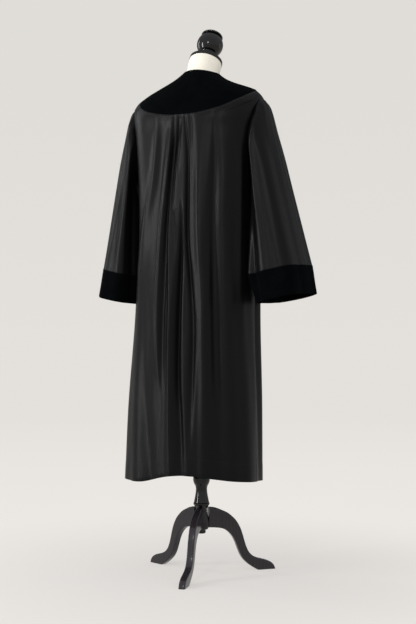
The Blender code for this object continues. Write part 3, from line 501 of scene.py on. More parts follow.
def side_turn(from_side, height):
    """Turn of the point that lies from_side behind the tube's side line."""
    half_width, half_depth, _, _, square = read_table(BODY_SECTIONS, height)
    share = np.clip(np.abs(from_side) / half_depth, 0.0, 0.999)
    reach = half_width * (1 - share ** square) ** (1 / square)
    return np.arctan2(from_side * FULL_DEPTH / half_depth, reach)


print("tube at 1 m:", [round(float(value), 4) for value in read_table(BODY_SECTIONS, 1.0)])

# %% Edges: yoke, hem and armhole
# columns: turn from the side line, height
YOKE_EDGE = ((0, 1.4852), (8, 1.4818), (17, 1.4730), (30, 1.4515), (43, 1.4290), (56, 1.4170),
             (73, 1.4085), (90, 1.4070))
# columns: turn, height above the hem's lowest line
HEM_WAVE = ((-180, 0.005), (-153, -0.001), (-120, 0.002), (-90, 0.001), (-60, 0.004),
            (-25, 0.001), (0, 0.003), (28, 0.001), (50, 0.003), (65, 0.013), (78, 0.021),
            (92, 0.027), (125, 0.027), (150, 0.016), (170, 0.008), (180, 0.005))
ARMHOLE_MIDDLE, ARMHOLE_HALF = 1.339, 0.117
ARMHOLE_BACK, ARMHOLE_FRONT = 0.064, 0.048


def yoke_edge_height(turn):
    """Height of the yoke's lower edge, alike at the left, right, front and back."""
    from_side = np.degrees(np.arcsin(np.clip(np.abs(np.sin(turn)), 0, 1)))
    return read_table(YOKE_EDGE, from_side)[0]


def hem_height(turn):
    """Height of the hem, in slow waves."""
    degrees = (np.degrees(turn) + 180) % 360 - 180
    return HEM_HEIGHT + read_table(HEM_WAVE, degrees)[0]


def edge_run(turn):
    """Direction in which the cloth runs down over the yoke's lower edge."""
    dip = np.radians(84 - 59 * np.abs(np.cos(turn)) ** 5)
    return points(np.cos(turn) * np.cos(dip), np.sin(turn) * np.cos(dip), -np.sin(dip))


def edge_normal(turn):
    """Outward direction at the yoke's lower edge, shared by both sides of the seam."""
    ahead = body_point(turn + 0.004, yoke_edge_height(turn + 0.004))
    behind = body_point(turn - 0.004, yoke_edge_height(turn - 0.004))
    return unit(np.cross(edge_run(turn), ahead - behind))


def side_edge_turn(height, half_depth):
    """Turn from the side line to a panel's side edge: an oval armhole, then a side seam."""
    arch = np.sqrt(np.clip(1 - ((height - ARMHOLE_MIDDLE) / ARMHOLE_HALF) ** 2, 0, 1))
    return side_turn(np.maximum(half_depth * arch, SEAM_GAP * 0.6), height)


print("yoke edge at the back", round(float(yoke_edge_height(math.pi / 2)), 4))

# %% [markdown]
# ## Folds
#
# The back hangs from five pleats under the yoke, and the cloth falls below them in long soft
# ridges and valleys that grow downwards. Simulated cloth would put them somewhere else, so
# they are placed one by one. A fold is a ridge whose cross section is a bell curve. Its line,
# its height and its two half widths are read from a few rows of a table, which lets it wander,
# fade and lean as real ones do.

# %% Fold helpers
TROUGH_DEEPER = 1.35


def fold_rise(folds, turn, height):
    """Sum of bell curves: rise times exp(-(distance in degrees / half width) squared).

    A fold is a list of rows, highest first. Columns: height, turn, rise in millimetres (minus
    is a trough), half width towards smaller turns, half width towards larger turns. Smooth
    curves run through the rows, so a fold can wander, grow and fade.
    """
    degrees = np.degrees(turn)
    total = np.zeros(np.broadcast(turn, height).shape)
    for fold in folds:
        middle, rise, low, high = read_table(fold[::-1], height)
        rise = rise / 1000 * np.where(rise < 0, TROUGH_DEEPER, 1)
        wide = np.where(degrees < middle, low, high)
        total = total + rise * np.exp(-((degrees - middle) / wide) ** 2)
    return total


def unevenness(turn, height, amount):
    """Slow irregular swell of hanging cloth: four sines with different runs."""
    a, b = turn * 2.0, height * 6.0
    waves = (np.sin(3.1 * a + 1.3 * b + 0.4) + np.sin(5.3 * a - 0.9 * b + 2.1)
             + 0.6 * np.sin(8.9 * a + 2.2 * b + 4.0) + 0.5 * np.sin(13.7 * a - 3.1 * b + 1.0))
    return amount * waves / 3.1


print("fold helpers ready")

# %% Folds of the back and the fronts
BACK_FOLDS = (
    # ridge that runs out to the left
    ((1.401, 59, 2, 4.2, 5.2), (1.303, 56.8, 6, 4.5, 5.2), (1.182, 51.8, 9, 4.8, 6.3),
     (1.091, 44.5, 9.5, 5.5, 7.8), (1, 38.5, 9, 8, 9.2), (0.878, 32, 6, 11, 10.5),
     (0.724, 33.2, 4.5, 13.2, 10.5), (0.541, 36.5, 5, 15.2, 10.5), (0.3, 41, 6, 11.8, 11)),
    # tallest ridge
    ((1.402, 78.8, 0, 4, 2.8), (1.345, 76.8, 4, 4.8, 2.2), (1.269, 75, 8, 5.5, 2.2),
     (1.178, 71.8, 9.5, 4.8, 3), (1.088, 69.2, 10.5, 4, 3.5), (0.952, 67, 10.5, 3.8, 3.8),
     (0.786, 65.8, 8.5, 4.2, 4.5), (0.666, 68.8, 5, 4.5, 4.2), (0.532, 74.8, 0, 4.2, 4.2)),
    # first pleat
    ((1.405, 81.8, -1, 1.5, 1.8), (1.36, 81, -2.5, 1.8, 1.5), (1.314, 79.8, -6, 1.8, 1.8),
     (1.239, 77, -7, 1.8, 1.8), (1.148, 75, -5, 1.8, 1.8), (1.057, 73.8, -3.5, 1.8, 2),
     (0.951, 73.5, -4.2, 2.8, 2.5), (0.786, 72.2, -4.5, 3.2, 3.2), (0.666, 73, -3.5, 3.5, 3.5),
     (0.547, 75.2, 0, 3.8, 3.5)),
    # ridge right of the pleats, down to the hem
    ((1.184, 78.8, 0, 2, 2), (1.132, 78.8, 3, 2.2, 2.8), (1.072, 78.8, 6.5, 2.2, 5),
     (0.996, 80, 8.5, 2.5, 6.8), (0.876, 82.5, 9.5, 2.8, 7), (0.696, 84.2, 9.5, 3.2, 5.8),
     (0.548, 86, 8.8, 4.2, 6), (0.311, 90.8, 8, 6.2, 6.8)),
    # second pleat
    ((1.401, 88.8, -1, 1.8, 1.8), (1.359, 87, -4.5, 1.8, 1.8), (1.313, 84.8, -6, 1.5, 1.8),
     (1.238, 82, -5, 1.8, 1.8), (1.162, 81, -3, 1.8, 1.5), (1.099, 80.8, 0, 1.8, 1.8)),
    # third pleat
    ((1.406, 92, -1.5, 1.8, 1.5), (1.358, 89.8, -2.2, 1.8, 1.8), (1.298, 88.2, -1.4, 1.8, 1.8),
     (1.222, 87.5, 0, 1.8, 1.8)),
    # fourth pleat, the longest one
    ((1.409, 96, -1.5, 1.8, 2), (1.357, 97.5, -3, 1.8, 2), (1.296, 99.5, -5.5, 2.2, 2),
     (1.175, 100.5, -7.8, 2.5, 2.5), (1.025, 103, -8.2, 2.8, 2.5), (0.905, 108.5, -7.8, 2.8, 3),
     (0.786, 112.8, -7.2, 3.2, 3.3), (0.609, 114, -6.5, 3.5, 3.2), (0.461, 113.8, -3, 3.8, 3.2),
     (0.387, 114, 0, 3.5, 3.5)),
    # fifth pleat
    ((1.41, 104, -1.2, 1.8, 1.8), (1.371, 104.2, -2, 2, 1.8), (1.31, 104.5, -1, 2, 2),
     (1.265, 105.2, 0, 2, 2)),
    # deep valley
    ((1.146, 93.5, 0, 1.8, 2), (1.086, 94.2, -5, 2.2, 2), (0.995, 94.8, -9, 3, 2.5),
     (0.846, 94.5, -11, 4, 3), (0.608, 96, -10.5, 4.3, 3.7), (0.46, 100.8, -7.5, 4.7, 4.5),
     (0.313, 105.2, -5, 5, 5)),
    # broad ridge, steeper on its left side
    ((1.409, 112, 1, 6, 10), (1.294, 113.2, 5, 5.5, 9.8), (1.174, 114.8, 8, 5.2, 9.7),
     (1.009, 117.8, 9.5, 5, 9.3), (0.89, 122.8, 9.5, 5.5, 7.8), (0.668, 126.8, 9, 5.2, 7),
     (0.315, 130, 7.5, 5.8, 7.5)),
    # valley right of the broad ridge
    ((1.394, 130, -1, 2, 3.8), (1.292, 130.3, -3.6, 2.8, 4.6), (1.173, 130.3, -6.2, 3.3, 5.2),
     (0.875, 134.8, -8.5, 3.5, 6.5), (0.609, 139.5, -8.5, 4.5, 6.2), (0.462, 142.5, -6, 5.5, 6.8),
     (0.315, 145.8, -3, 6, 6.5)),
    # soft swell
    ((1.292, 140.8, 0, 6.2, 5), (1.173, 141.8, 3, 6.5, 5.2), (1.024, 144, 4, 6.8, 5.5),
     (0.846, 148.5, 5, 7.8, 6.8), (0.55, 153.5, 6, 7.8, 7.2), (0.314, 155.5, 6, 7.2, 6.8)),
    # soft swell beside the sleeve
    ((1.323, 153.2, 0, 3.8, 2.5), (1.248, 154.8, 3.5, 3.8, 2.8), (0.965, 159.8, 5, 4.2, 3.5),
     (0.756, 164.2, 3, 5.5, 5), (0.548, 166.8, 4, 6, 6), (0.31, 169, 4, 5.8, 5.8)),
    # shallow valley near the left side
    ((0.892, 44.2, 0, 8.5, 6.8), (0.755, 44, -3.5, 8, 8.5), (0.514, 50.8, -5, 8, 9),
     (0.306, 61.8, -5, 9, 10)),
    # ridge at the left side, down to the hem
    ((0.95, 14, 0, 6, 6), (0.78, 15, 3, 6, 7), (0.56, 19, 6.5, 7, 7), (0.3, 22, 8.5, 8, 8)),
)
FRONT_FOLDS = (
    # the wearer's left front
    ((1.395, -66, 1, 4.5, 4), (1.25, -65, 6, 4.5, 4), (1, -65.5, 9, 4.2, 4.8),
     (0.65, -67.5, 9.5, 4.8, 5.2), (0.3, -68, 8, 6, 6)),
    ((1.39, -57, -1.5, 2, 2), (1.26, -56.5, -5, 2.2, 2.2), (1.05, -56, -7.5, 2.6, 3),
     (0.7, -57.5, -8, 3.2, 3.4), (0.3, -58.5, -4.5, 4.5, 4.5)),
    ((1.3, -47, 0, 4, 4), (1.18, -46.5, 5.5, 4, 4.6), (0.9, -44, 9, 4.2, 5),
     (0.56, -44.5, 8.5, 5, 6), (0.3, -45.5, 7.5, 6, 6.5)),
    ((1.22, -36, 0, 3, 3), (1.08, -35, -6, 3, 3.2), (0.8, -33, -8.5, 3.4, 3.8),
     (0.5, -32, -6, 4, 5), (0.33, -31.5, 0, 4.5, 5)),
    ((1.24, -25, 0, 5, 5), (1.06, -24, 6, 5, 5), (0.7, -21, 8.5, 5.5, 6),
     (0.3, -19, 8, 6.5, 6.5)),
    ((1.18, -12, 0, 4, 4), (1, -12, -5, 4.5, 4.5), (0.6, -9.5, -6, 5, 5), (0.3, -8, -4.5, 6, 6)),
    # the wearer's right front
    ((1.395, -114, 1, 4, 4.5), (1.24, -115.5, 6, 4, 4.5), (0.98, -115, 8.5, 4.5, 4.5),
     (0.64, -113.5, 9, 5, 5), (0.3, -113, 7.5, 6, 6)),
    ((1.39, -123.5, -1.5, 2, 2), (1.23, -124.5, -5.5, 2.2, 2.4), (1, -125, -8, 3, 2.6),
     (0.68, -124, -7.5, 3.4, 3.2), (0.3, -122.5, -4, 4.6, 4.4)),
    ((1.3, -134, 0, 4, 4), (1.15, -134.5, 6, 4.4, 4), (0.86, -136.5, 9.5, 5, 4.2),
     (0.3, -136, 8, 6.5, 6)),
    ((1.23, -144.5, 0, 3, 3), (1.09, -146, -5.5, 3.2, 3.2), (0.76, -148, -8, 3.8, 3.4),
     (0.42, -149, -4.5, 5, 4.2), (0.3, -149, -3, 5, 4.5)),
    ((1.24, -157, 0, 5, 5), (1.04, -158, 6.5, 5, 5), (0.68, -160, 9, 6, 5.5),
     (0.3, -162, 8, 6.5, 6.5)),
    ((1.18, -170, 0, 4, 4), (0.98, -170.5, -5.5, 4.5, 4.5), (0.3, -172, -4.5, 6, 6)),
)
print(len(BACK_FOLDS), "folds at the back,", len(FRONT_FOLDS), "at the front")

# %% [markdown]
# ## Back and fronts
#
# The back is one wide panel, the two fronts lap at the centre. Each panel is a grid from the
# yoke's edge to the hem. Its columns run from side edge to side edge, so the armhole is simply
# where the side edge moves in. The folds die out at the side edges, where the seams hold the
# cloth flat. The hem is turned up once, which makes the last few centimetres a little thicker.

# %% Panel grid
PANEL_ROWS = (1.4852, 1.4740, 1.464, 1.4567, 1.438, 1.400, 1.344, 1.286, 1.243, 1.2205,
              1.160, 1.080, 0.990, 0.885, 0.770, 0.650, 0.530, 0.410, 0.296)
FINE = 8
HEM_DEPTH, HEM_EXTRA, HEM_BLEND, HEM_SIDE_BLEND = 0.055, 0.0005, 0.004, 0.02
WOOL_WALL = 0.0016
LAP_TURN, LAP_RISE, LAP_BLEND_TURN = 9.0, 0.0024, 7.0
CALM_AT_ARMHOLE, CALM_AT_SIDE_SEAM, CALM_AT_YOKE = 0.09, 0.05, 0.012   # shares of a panel
ARMHOLE_BLEND = (0.02, 0.12)   # start above the armhole's foot, and length
CLOTH_SWELL = 0.0009


def lap_rise(turn):
    """How far the left front stands out where it passes over the right one."""
    before_end = LAP_TURN + LAP_BLEND_TURN - (np.degrees(turn) + 90)
    return LAP_RISE * ease(before_end / LAP_BLEND_TURN)


def panel_grid(shares, centre, folds, lap=False):
    """Outer grid and normals of a panel from the yoke's edge to the hem.

    turn = centre + share times (90 degrees minus the side edge's turn), height = yoke edge
    height eased down to the hem's height, point = tube point + normal times all the folds.
    """
    rows = np.interp(np.linspace(0, len(PANEL_ROWS) - 1, FINE * (len(PANEL_ROWS) - 1) + 1),
                     np.arange(len(PANEL_ROWS)), PANEL_ROWS)
    half_depth = ARMHOLE_BACK if centre > 0 else ARMHOLE_FRONT
    turn = centre + (math.pi / 2 - side_edge_turn(rows, half_depth))[:, None] * shares[None, :]
    drop = ((rows[0] - rows) / (rows[0] - rows[-1]))[:, None]
    top = yoke_edge_height(turn[0])
    height = top + (hem_height(turn[-1]) - top) * drop
    base = body_point(turn, height)
    normals = grid_normals(base)
    normals[0] = edge_normal(turn[0])
    base[0] += edge_run(turn[0]) * SEAM_GAP
    on_seam = np.abs(rows - ARMHOLE_MIDDLE) > ARMHOLE_HALF
    for edge in np.flatnonzero(np.abs(shares) > 0.9999):
        normals[on_seam, edge, 1] = 0
    normals = unit(normals)
    from_edge = (1 - np.abs(shares))[None, :]
    foot = ARMHOLE_MIDDLE - ARMHOLE_HALF
    below = ease((foot + ARMHOLE_BLEND[0] - rows) / ARMHOLE_BLEND[1])[:, None]
    calm = (ease(from_edge / CALM_AT_ARMHOLE) * (1 - below)
            + ease(from_edge / CALM_AT_SIDE_SEAM) * below)
    rise = fold_rise(folds, turn, height) + unevenness(turn, height, CLOTH_SWELL)
    rise = rise * calm * ease(drop / CALM_AT_YOKE)
    above_hem = height - hem_height(turn[-1])
    rise = rise + (HEM_EXTRA * ease((HEM_DEPTH - above_hem) / HEM_BLEND)
                   * ease(from_edge / HEM_SIDE_BLEND))
    if lap:
        rise = rise + lap_rise(turn)
    return base + normals * rise[..., None] + POLE, normals


print("hem turned up", HEM_DEPTH, "m deep")

# %% Back
even = np.linspace(-1, 1, 241)
back_shares = even * (0.45 + 0.55 * even * even)
back_grid, back_normals = panel_grid(back_shares, math.pi / 2, BACK_FOLDS)
back = cloth("back_cloth", back_grid, back_normals, WOOL_WALL)
dress(back, "back", WOOL)

# %% Fronts
half = np.linspace(0, 1, 97)
lap_columns = LAP_TURN / 90 * np.linspace(1, 0, 17)[:-1]
left_shares = np.concatenate([-lap_columns, half])
left_grid, left_normals = panel_grid(left_shares, -math.pi / 2, FRONT_FOLDS, lap=True)
right_grid, right_normals = panel_grid(-left_shares[::-1], -math.pi / 2, FRONT_FOLDS)
for name, grid, normals in (("left", left_grid, left_normals),
                            ("right", right_grid, right_normals)):
    front = cloth("front_" + name + "_cloth", grid, normals, WOOL_WALL)
    dress(front, "front_" + name, WOOL)

# %% [markdown]
# ## Velvet yoke
#
# The yoke is a round shoulder piece of velvet. It stands up a little round the neck and runs
# out over the shoulders to the curved seam where the pleated cloth begins. One cubic arc for
# each turn joins the neck edge with the lower edge, so the piece leaves the neck steeply and
# meets the cloth below in its own direction. It is open at the centre front.

# %% Yoke
NECK_MIDDLE_Y, NECK_HALF_WIDTH, NECK_HALF_DEPTH = -0.002, 0.0580, 0.0570
NECK_BACK, NECK_SIDE, NECK_FRONT = 1.552, 1.545, 1.505
NECK_STAND, FRONT_SLIT = math.radians(44), math.radians(0.45)
VELVET_WALL, VELVET_PROUD, VELVET_SWELL = 0.0026, 0.0008, 0.0004


def neck_edge(turn):
    """Neck edge: an oval that is lowest at the front."""
    s = np.sin(turn)
    height = (NECK_SIDE + (NECK_BACK - NECK_SIDE) * np.maximum(s, 0) ** 2
              + (NECK_FRONT - NECK_SIDE) * np.maximum(-s, 0) ** 2)
    return points(NECK_HALF_WIDTH * np.cos(turn), NECK_MIDDLE_Y + NECK_HALF_DEPTH * s, height)


def yoke_surface(turn, share):
    """Cubic arc from the neck edge (share 0) to the lower edge (share 1) at each turn."""
    start, end = neck_edge(turn), body_point(turn, yoke_edge_height(turn))
    first = points(np.cos(turn) * math.cos(NECK_STAND), np.sin(turn) * math.cos(NECK_STAND),
                   -math.sin(NECK_STAND))
    chord = np.linalg.norm(end - start, axis=-1, keepdims=True)
    return cubic(start, end, chord * first, chord * edge_run(turn), share[..., None])


yoke_turns = np.linspace(-math.pi / 2 + FRONT_SLIT, 1.5 * math.pi - FRONT_SLIT, 321)
yoke_turn, yoke_share = np.meshgrid(yoke_turns, np.linspace(0, 1, 37))
yoke_base = yoke_surface(yoke_turn, yoke_share)
yoke_normals = grid_normals(yoke_base)
yoke_normals[-1] = edge_normal(yoke_turns)
nap_swell = (unevenness(yoke_turn, yoke_share * 0.3, VELVET_SWELL)
             * ease(yoke_share * 6) * ease((1 - yoke_share) * 6))
yoke_grid = yoke_base + yoke_normals * (VELVET_PROUD + nap_swell)[..., None] + POLE
yoke = cloth("yoke_velvet", yoke_grid, yoke_normals, VELVET_WALL, roll=6)
dress(yoke, "yoke", VELVET)

# %% [markdown]
# ## Sleeves and velvet cuffs
#
# Each sleeve is a wide tube that hangs from the armhole. It is gathered at its head, where
# more cloth is sewn into the armhole than fits flat, and ends in a velvet cuff. The tube runs
# from the armhole's oval to the cuff's tilted ring in straight lines plus a bulge near the
# top, and its folds are bell curves round the arm.

# %% Sleeve shape
LEFT_CUFF = (((0.2680, -0.004, 0.936), (0.0605, 0.098), (0.004, 0.006)),
             ((0.280, -0.004, 0.850), (0.063, 0.106), (0.002, 0.003)))
RIGHT_CUFF = (((0.278, 0.002, 0.936), (0.070, 0.098), (0.015, 0.028)),
              ((0.290, 0.000, 0.852), (0.070, 0.107), (0.006, 0.011)))
CORNER_ANGLE, CORNER_WIDE = 145.0, 25.0
CUFF_TILT, CUFF_SQUARE = math.radians(12.0), 2.8
BULGE_OUTER, BULGE_UNDER, BULGE_BACK = 0.0145, 0.009, 0.020
GATHERS, GATHER_SPREAD, GATHER_RISE, GATHER_LENGTH = 7, math.radians(78), 0.0022, 0.14
# columns: angle at the top, at the cuff, share of the length where it starts, rise, half width
LEFT_SLEEVE_FOLDS = (
    (36.0, 30.0, 0.10, 0.0060, 13.0), (62.0, 60.0, 0.10, -0.0060, 11.0),
    (98.0, 105.0, 0.10, 0.0080, 11.0), (126.0, 130.0, 0.10, -0.0035, 6.0),
    (149.0, 153.0, 0.08, 0.0095, 14.0), (215.0, 212.0, 0.20, -0.0060, 12.0),
    (245.0, 244.0, 0.10, 0.0070, 13.0), (280.0, 282.0, 0.10, -0.0060, 13.0),
    (315.0, 316.0, 0.10, 0.0060, 13.0),
)
RIGHT_SLEEVE_FOLDS = (
    (30.0, 28.0, 0.12, -0.0040, 14.0), (58.0, 62.0, 0.10, 0.0060, 15.0),
    (95.0, 103.0, 0.15, 0.0050, 10.0), (120.0, 125.0, 0.90, -0.0180, 10.0),
    (148.0, 150.0, 0.25, 0.0060, 10.0), (215.0, 214.0, 0.20, -0.0060, 12.0),
    (245.0, 246.0, 0.10, 0.0070, 13.0), (282.0, 280.0, 0.10, -0.0060, 13.0),
    (318.0, 316.0, 0.10, 0.0060, 13.0),
)


def armhole_ring(angle, side):
    """Armhole oval on the tube and the outward direction there; angle 0 is its top."""
    height = ARMHOLE_MIDDLE + ARMHOLE_HALF * np.cos(angle)
    half_depth = np.where(np.sin(angle) > 0, ARMHOLE_BACK, ARMHOLE_FRONT)
    turn = side_turn(half_depth * np.sin(angle), height)
    turn = turn if side > 0 else math.pi - turn
    return body_point(turn, height), body_normal(turn, height)


def cuff_ring(angle, side, middle, half, corner):
    """Tilted superellipse: angle 0 is the outer side, 90 degrees the back.

    Its corner behind the body is drawn in by corner[0] and back by corner[1], as a bell curve.
    """
    c, s = np.cos(angle), np.sin(angle)
    reach = oval_reach(c, s, *half, CUFF_SQUARE)
    drawn = np.exp(-((np.degrees(angle) - CORNER_ANGLE) / CORNER_WIDE) ** 2)
    out = middle[0] + reach * c * math.cos(CUFF_TILT) - corner[0] * drawn
    return points(side * out, middle[1] + reach * s + corner[1] * drawn,
                  middle[2] + reach * c * math.sin(CUFF_TILT))


def sleeve_base(angle, along, side, cuff):
    """Straight lines from the armhole to the cuff, plus a bulge that dies out downwards."""
    hole, out = armhole_ring(angle, side)
    hole = hole + out * SEAM_GAP * 1.5
    top, end = cuff_ring(angle, side, *cuff[0]), cuff_ring(angle, side, *cuff[1])
    share = np.clip(along, 0, 1)[..., None]
    outer, under = [np.maximum(sign * np.cos(angle), 0) for sign in (1, -1)]
    back = np.sin(angle)
    bulge = points(side * (BULGE_OUTER * outer + BULGE_UNDER * under
                           + 0.35 * BULGE_BACK * np.abs(back)),
                   BULGE_BACK * back * np.abs(back), 0.25 * BULGE_OUTER * outer)
    swell = (1 - np.exp(-share / 0.030)) * (1 - share) ** 1.2
    arm = hole + (top - hole) * share + bulge * swell
    return arm + (end - top) * np.clip(along - 1, 0, 1)[..., None]


def sleeve_rise(folds, angle, along):
    """Long folds, and the gathers at the head: a cosine that dies out down the sleeve."""
    degrees, share = np.degrees(angle), np.clip(along, 0, 1)
    total = np.zeros(share.shape)
    for top, cuff, start, rise, half_width in folds:
        middle = top + (cuff - top) * share
        grow = ease((share - start * 0.3) / (start + 0.25))
        total = total + rise * grow * np.exp(-((degrees - middle) / half_width) ** 2)
    from_top = (angle + math.pi) % (2 * math.pi) - math.pi
    wave = 0.5 + 0.5 * np.cos(from_top / GATHER_SPREAD * math.pi * GATHERS)
    head = ease((GATHER_SPREAD - np.abs(from_top)) / math.radians(15))
    length = ease((GATHER_LENGTH - share) / GATHER_LENGTH) * ease(share / 0.02)
    return total + GATHER_RISE * wave * head * length


print("sleeve shape ready")

# %% Sleeves
SLEEVE_ROUND, SLEEVE_SWELL = 160, 0.0007
sleeve_rows = np.concatenate([np.linspace(0, 0.15, 30), np.linspace(0.15, 1, 76)[1:],
                              np.linspace(1, 2, 25)[1:]])
CUT = 105   # rows of the wool sleeve; the velvet cuff has the rest
for name, side, cuff, folds in (("left", 1, LEFT_CUFF, LEFT_SLEEVE_FOLDS),
                                ("right", -1, RIGHT_CUFF, RIGHT_SLEEVE_FOLDS)):
    around = side * full_turn(SLEEVE_ROUND) % (2 * math.pi)
    angle, along = np.meshgrid(around, sleeve_rows)
    base = sleeve_base(angle, along, side, cuff)
    normals = grid_normals(base, closed=True)
    _, out = armhole_ring(around, side)
    from_middle = base[0] - base[0].mean(axis=0)
    normals[0] = unit(from_middle - out * np.sum(from_middle * out, axis=1, keepdims=True))
    swell = unevenness(angle, along * 0.5, SLEEVE_SWELL) * ease(along / 0.1)
    rise = sleeve_rise(folds, angle, along) + swell
    grid = base + normals * rise[..., None] + POLE
    sleeve = cloth("sleeve_" + name + "_cloth", grid[:CUT], normals[:CUT], WOOL_WALL, closed=True)
    dress(sleeve, "sleeve_" + name, WOOL)
    band = grid[CUT - 1:].copy()
    band[0] += unit(band[1] - band[0]) * SEAM_GAP
    band += normals[CUT - 1:] * VELVET_PROUD
    cuff_piece = cloth("cuff_" + name + "_velvet", band, normals[CUT - 1:], VELVET_WALL,
                       closed=True, roll=6)
    dress(cuff_piece, "cuff_" + name, VELVET)

# %% [markdown]
# ## Turned wood
#
# The knob, the cap on the neck, the baluster and the hub are turned on a lathe. A turned piece
# is a profile carried round its own axis, with its two poles closed by a point. The profiles
# are the solids' own, read smoothly at many more heights, so edges and beads look round.

# %% Turned pieces
TURNED_ROUND = 96


def turned_piece(name, profile, middle=(0, 0, 0), lean=0.0, steps=6):
    """Object turned from a profile of (height, radius) rows, listed from the foot up.

    Rings, highest first, between two pole points: (r cos a, r sin a, h).
    """
    profile = np.array(profile)
    run = length_along(profile)
    fine = np.interp(np.linspace(0, len(run) - 1, steps * (len(run) - 1) + 1),
                     np.arange(len(run)), run)
    heights = through(run, profile[:, 0], fine)[::-1]
    radii = through(run, profile[:, 1], fine)[::-1]
    angle = full_turn(TURNED_ROUND)
    rings = points(radii[:, None] * np.cos(angle), radii[:, None] * np.sin(angle),
                   heights[:, None])
    vertices = np.concatenate([rings.reshape(-1, 3), [[0, 0, heights[0]], [0, 0, heights[-1]]]])
    faces = grid_faces(len(rings), TURNED_ROUND, closed=True).tolist()
    faces += pole_faces(len(rings), TURNED_ROUND)
    turn = np.array(Matrix.Rotation(lean, 3, "X"))
    print(name, len(faces), "faces")
    return make_object(name, vertices @ turn.T + np.array(middle) + POLE, faces, sharp=35)


NECK_LEAN = math.radians(27.0)
CAP_MIDDLE = (0.0, -0.030, 1.592)
cap = turned_piece("cap_lacquered", [(-0.0055, 0.0500), (-0.0052, 0.0512), (-0.0042, 0.0519),
                                     (-0.003, 0.0520), (0.003, 0.0520), (0.0042, 0.0518),
                                     (0.0051, 0.0508), (0.0055, 0.0490), (0.0055, 0.0300)],
                   CAP_MIDDLE, NECK_LEAN)
dress(cap, "neck_cap", LACQUER)

# %% Knob
KNOB_RADIUS, KNOB_RISE = 0.0412, 0.0635
foot_rows = [(0.0058, 0.0262), (0.0088, 0.0268), (0.0113, 0.0250), (0.0158, 0.0232),
             (0.0218, 0.0230)]
ball_rows = [(KNOB_RISE + KNOB_RADIUS * math.sin(a), KNOB_RADIUS * math.cos(a))
             for a in np.radians(np.linspace(-54, 45, 23))]
disc_rows = [(KNOB_RISE + rise, radius) for rise, radius in (
    (0.0298, 0.0278), (0.0303, 0.0318), (0.0316, 0.0338), (0.0336, 0.0340), (0.0360, 0.0326),
    (0.0400, 0.0276), (0.0432, 0.0205), (0.0450, 0.0120), (0.0456, 0.0040))]
knob = turned_piece("knob_lacquered", foot_rows + ball_rows + disc_rows, CAP_MIDDLE, NECK_LEAN,
                    steps=4)
dress(knob, "knob", LACQUER)

# %% Baluster, hub and pole
BALUSTER_PROFILE = (
    (0.2200, 0.0238), (0.2310, 0.0216), (0.2450, 0.0190), (0.2560, 0.0177), (0.2640, 0.0176),
    (0.2710, 0.0192), (0.2800, 0.0238), (0.2870, 0.0258), (0.2940, 0.0262), (0.3020, 0.0246),
    (0.3090, 0.0206), (0.3140, 0.0180), (0.3180, 0.0172),
)
HUB_PROFILE = (
    (0.1240, 0.0110), (0.1262, 0.0130), (0.1350, 0.0136), (0.1372, 0.0200), (0.1400, 0.0219),
    (0.2100, 0.0219), (0.2118, 0.0240), (0.2150, 0.0252), (0.2182, 0.0250), (0.2197, 0.0236),
)
for node, profile in (("baluster", BALUSTER_PROFILE), ("hub", HUB_PROFILE)):
    dress(turned_piece(node + "_lacquered", profile), node, LACQUER)
nodes["pole"].data.materials.clear()
nodes["pole"].data.materials.append(STEEL)
print("the pole keeps its solid, with a new finish")

# %% [markdown]
# ## Dress form
#
# The form is a padded torso under a tight jersey cover. Its rings are the solid's own: four
# round the leaning neck, six just inside the yoke, then ovals down to the closed bottom.
# Smooth curves down each column give the rings between. The cover is one piece of knit that
# is pulled tight, so it has no folds, and its finish shows the fine ribs of the stitches.

# %% Dress form
NECK_RADIUS, NECK_STEPS = 0.0510, (0.0058, 0.020, 0.034, 0.044)
UNDER_YOKE = (0.0048, 0.0034, 0.0026, 0.0026, 0.0050, 0.0100)
# columns: height, half width, half depth, middle y
FORM_SECTIONS = (
    (0.800, 0.140, 0.098, 0.016), (0.835, 0.150, 0.105, 0.016), (0.920, 0.155, 0.108, 0.015),
    (1.010, 0.142, 0.102, 0.011), (1.100, 0.128, 0.094, 0.004), (1.200, 0.143, 0.104, -0.002),
    (1.290, 0.162, 0.112, -0.004), (1.370, 0.170, 0.106, 0.000),
)
FORM_LEVELS = (1.28, 1.20, 1.11, 1.03, 0.96, 0.89, 0.83, 0.80)
SHOULDER_FOOT = 1.33
FORM_SQUARE, FORM_ROUND, FORM_STEPS = 2.3, 144, 6


def form_ring(turn, height):
    """Superellipse of the form's section at each height."""
    half_width, half_depth, middle_y = read_table(FORM_SECTIONS, height)
    c, s = np.cos(turn), np.sin(turn)
    reach = oval_reach(c, s, half_width, half_depth, FORM_SQUARE)
    return points(reach * c, middle_y + reach * s, height)


def smoother(rings, steps):
    """More rings between the given ones: cubic pieces down each column."""
    slopes = np.gradient(rings, axis=0)
    at = np.linspace(0, len(rings) - 1, steps * (len(rings) - 1) + 1)
    i = np.clip(at.astype(int), 0, len(rings) - 2)
    return cubic(rings[i], rings[i + 1], slopes[i], slopes[i + 1], (at - i)[:, None, None])


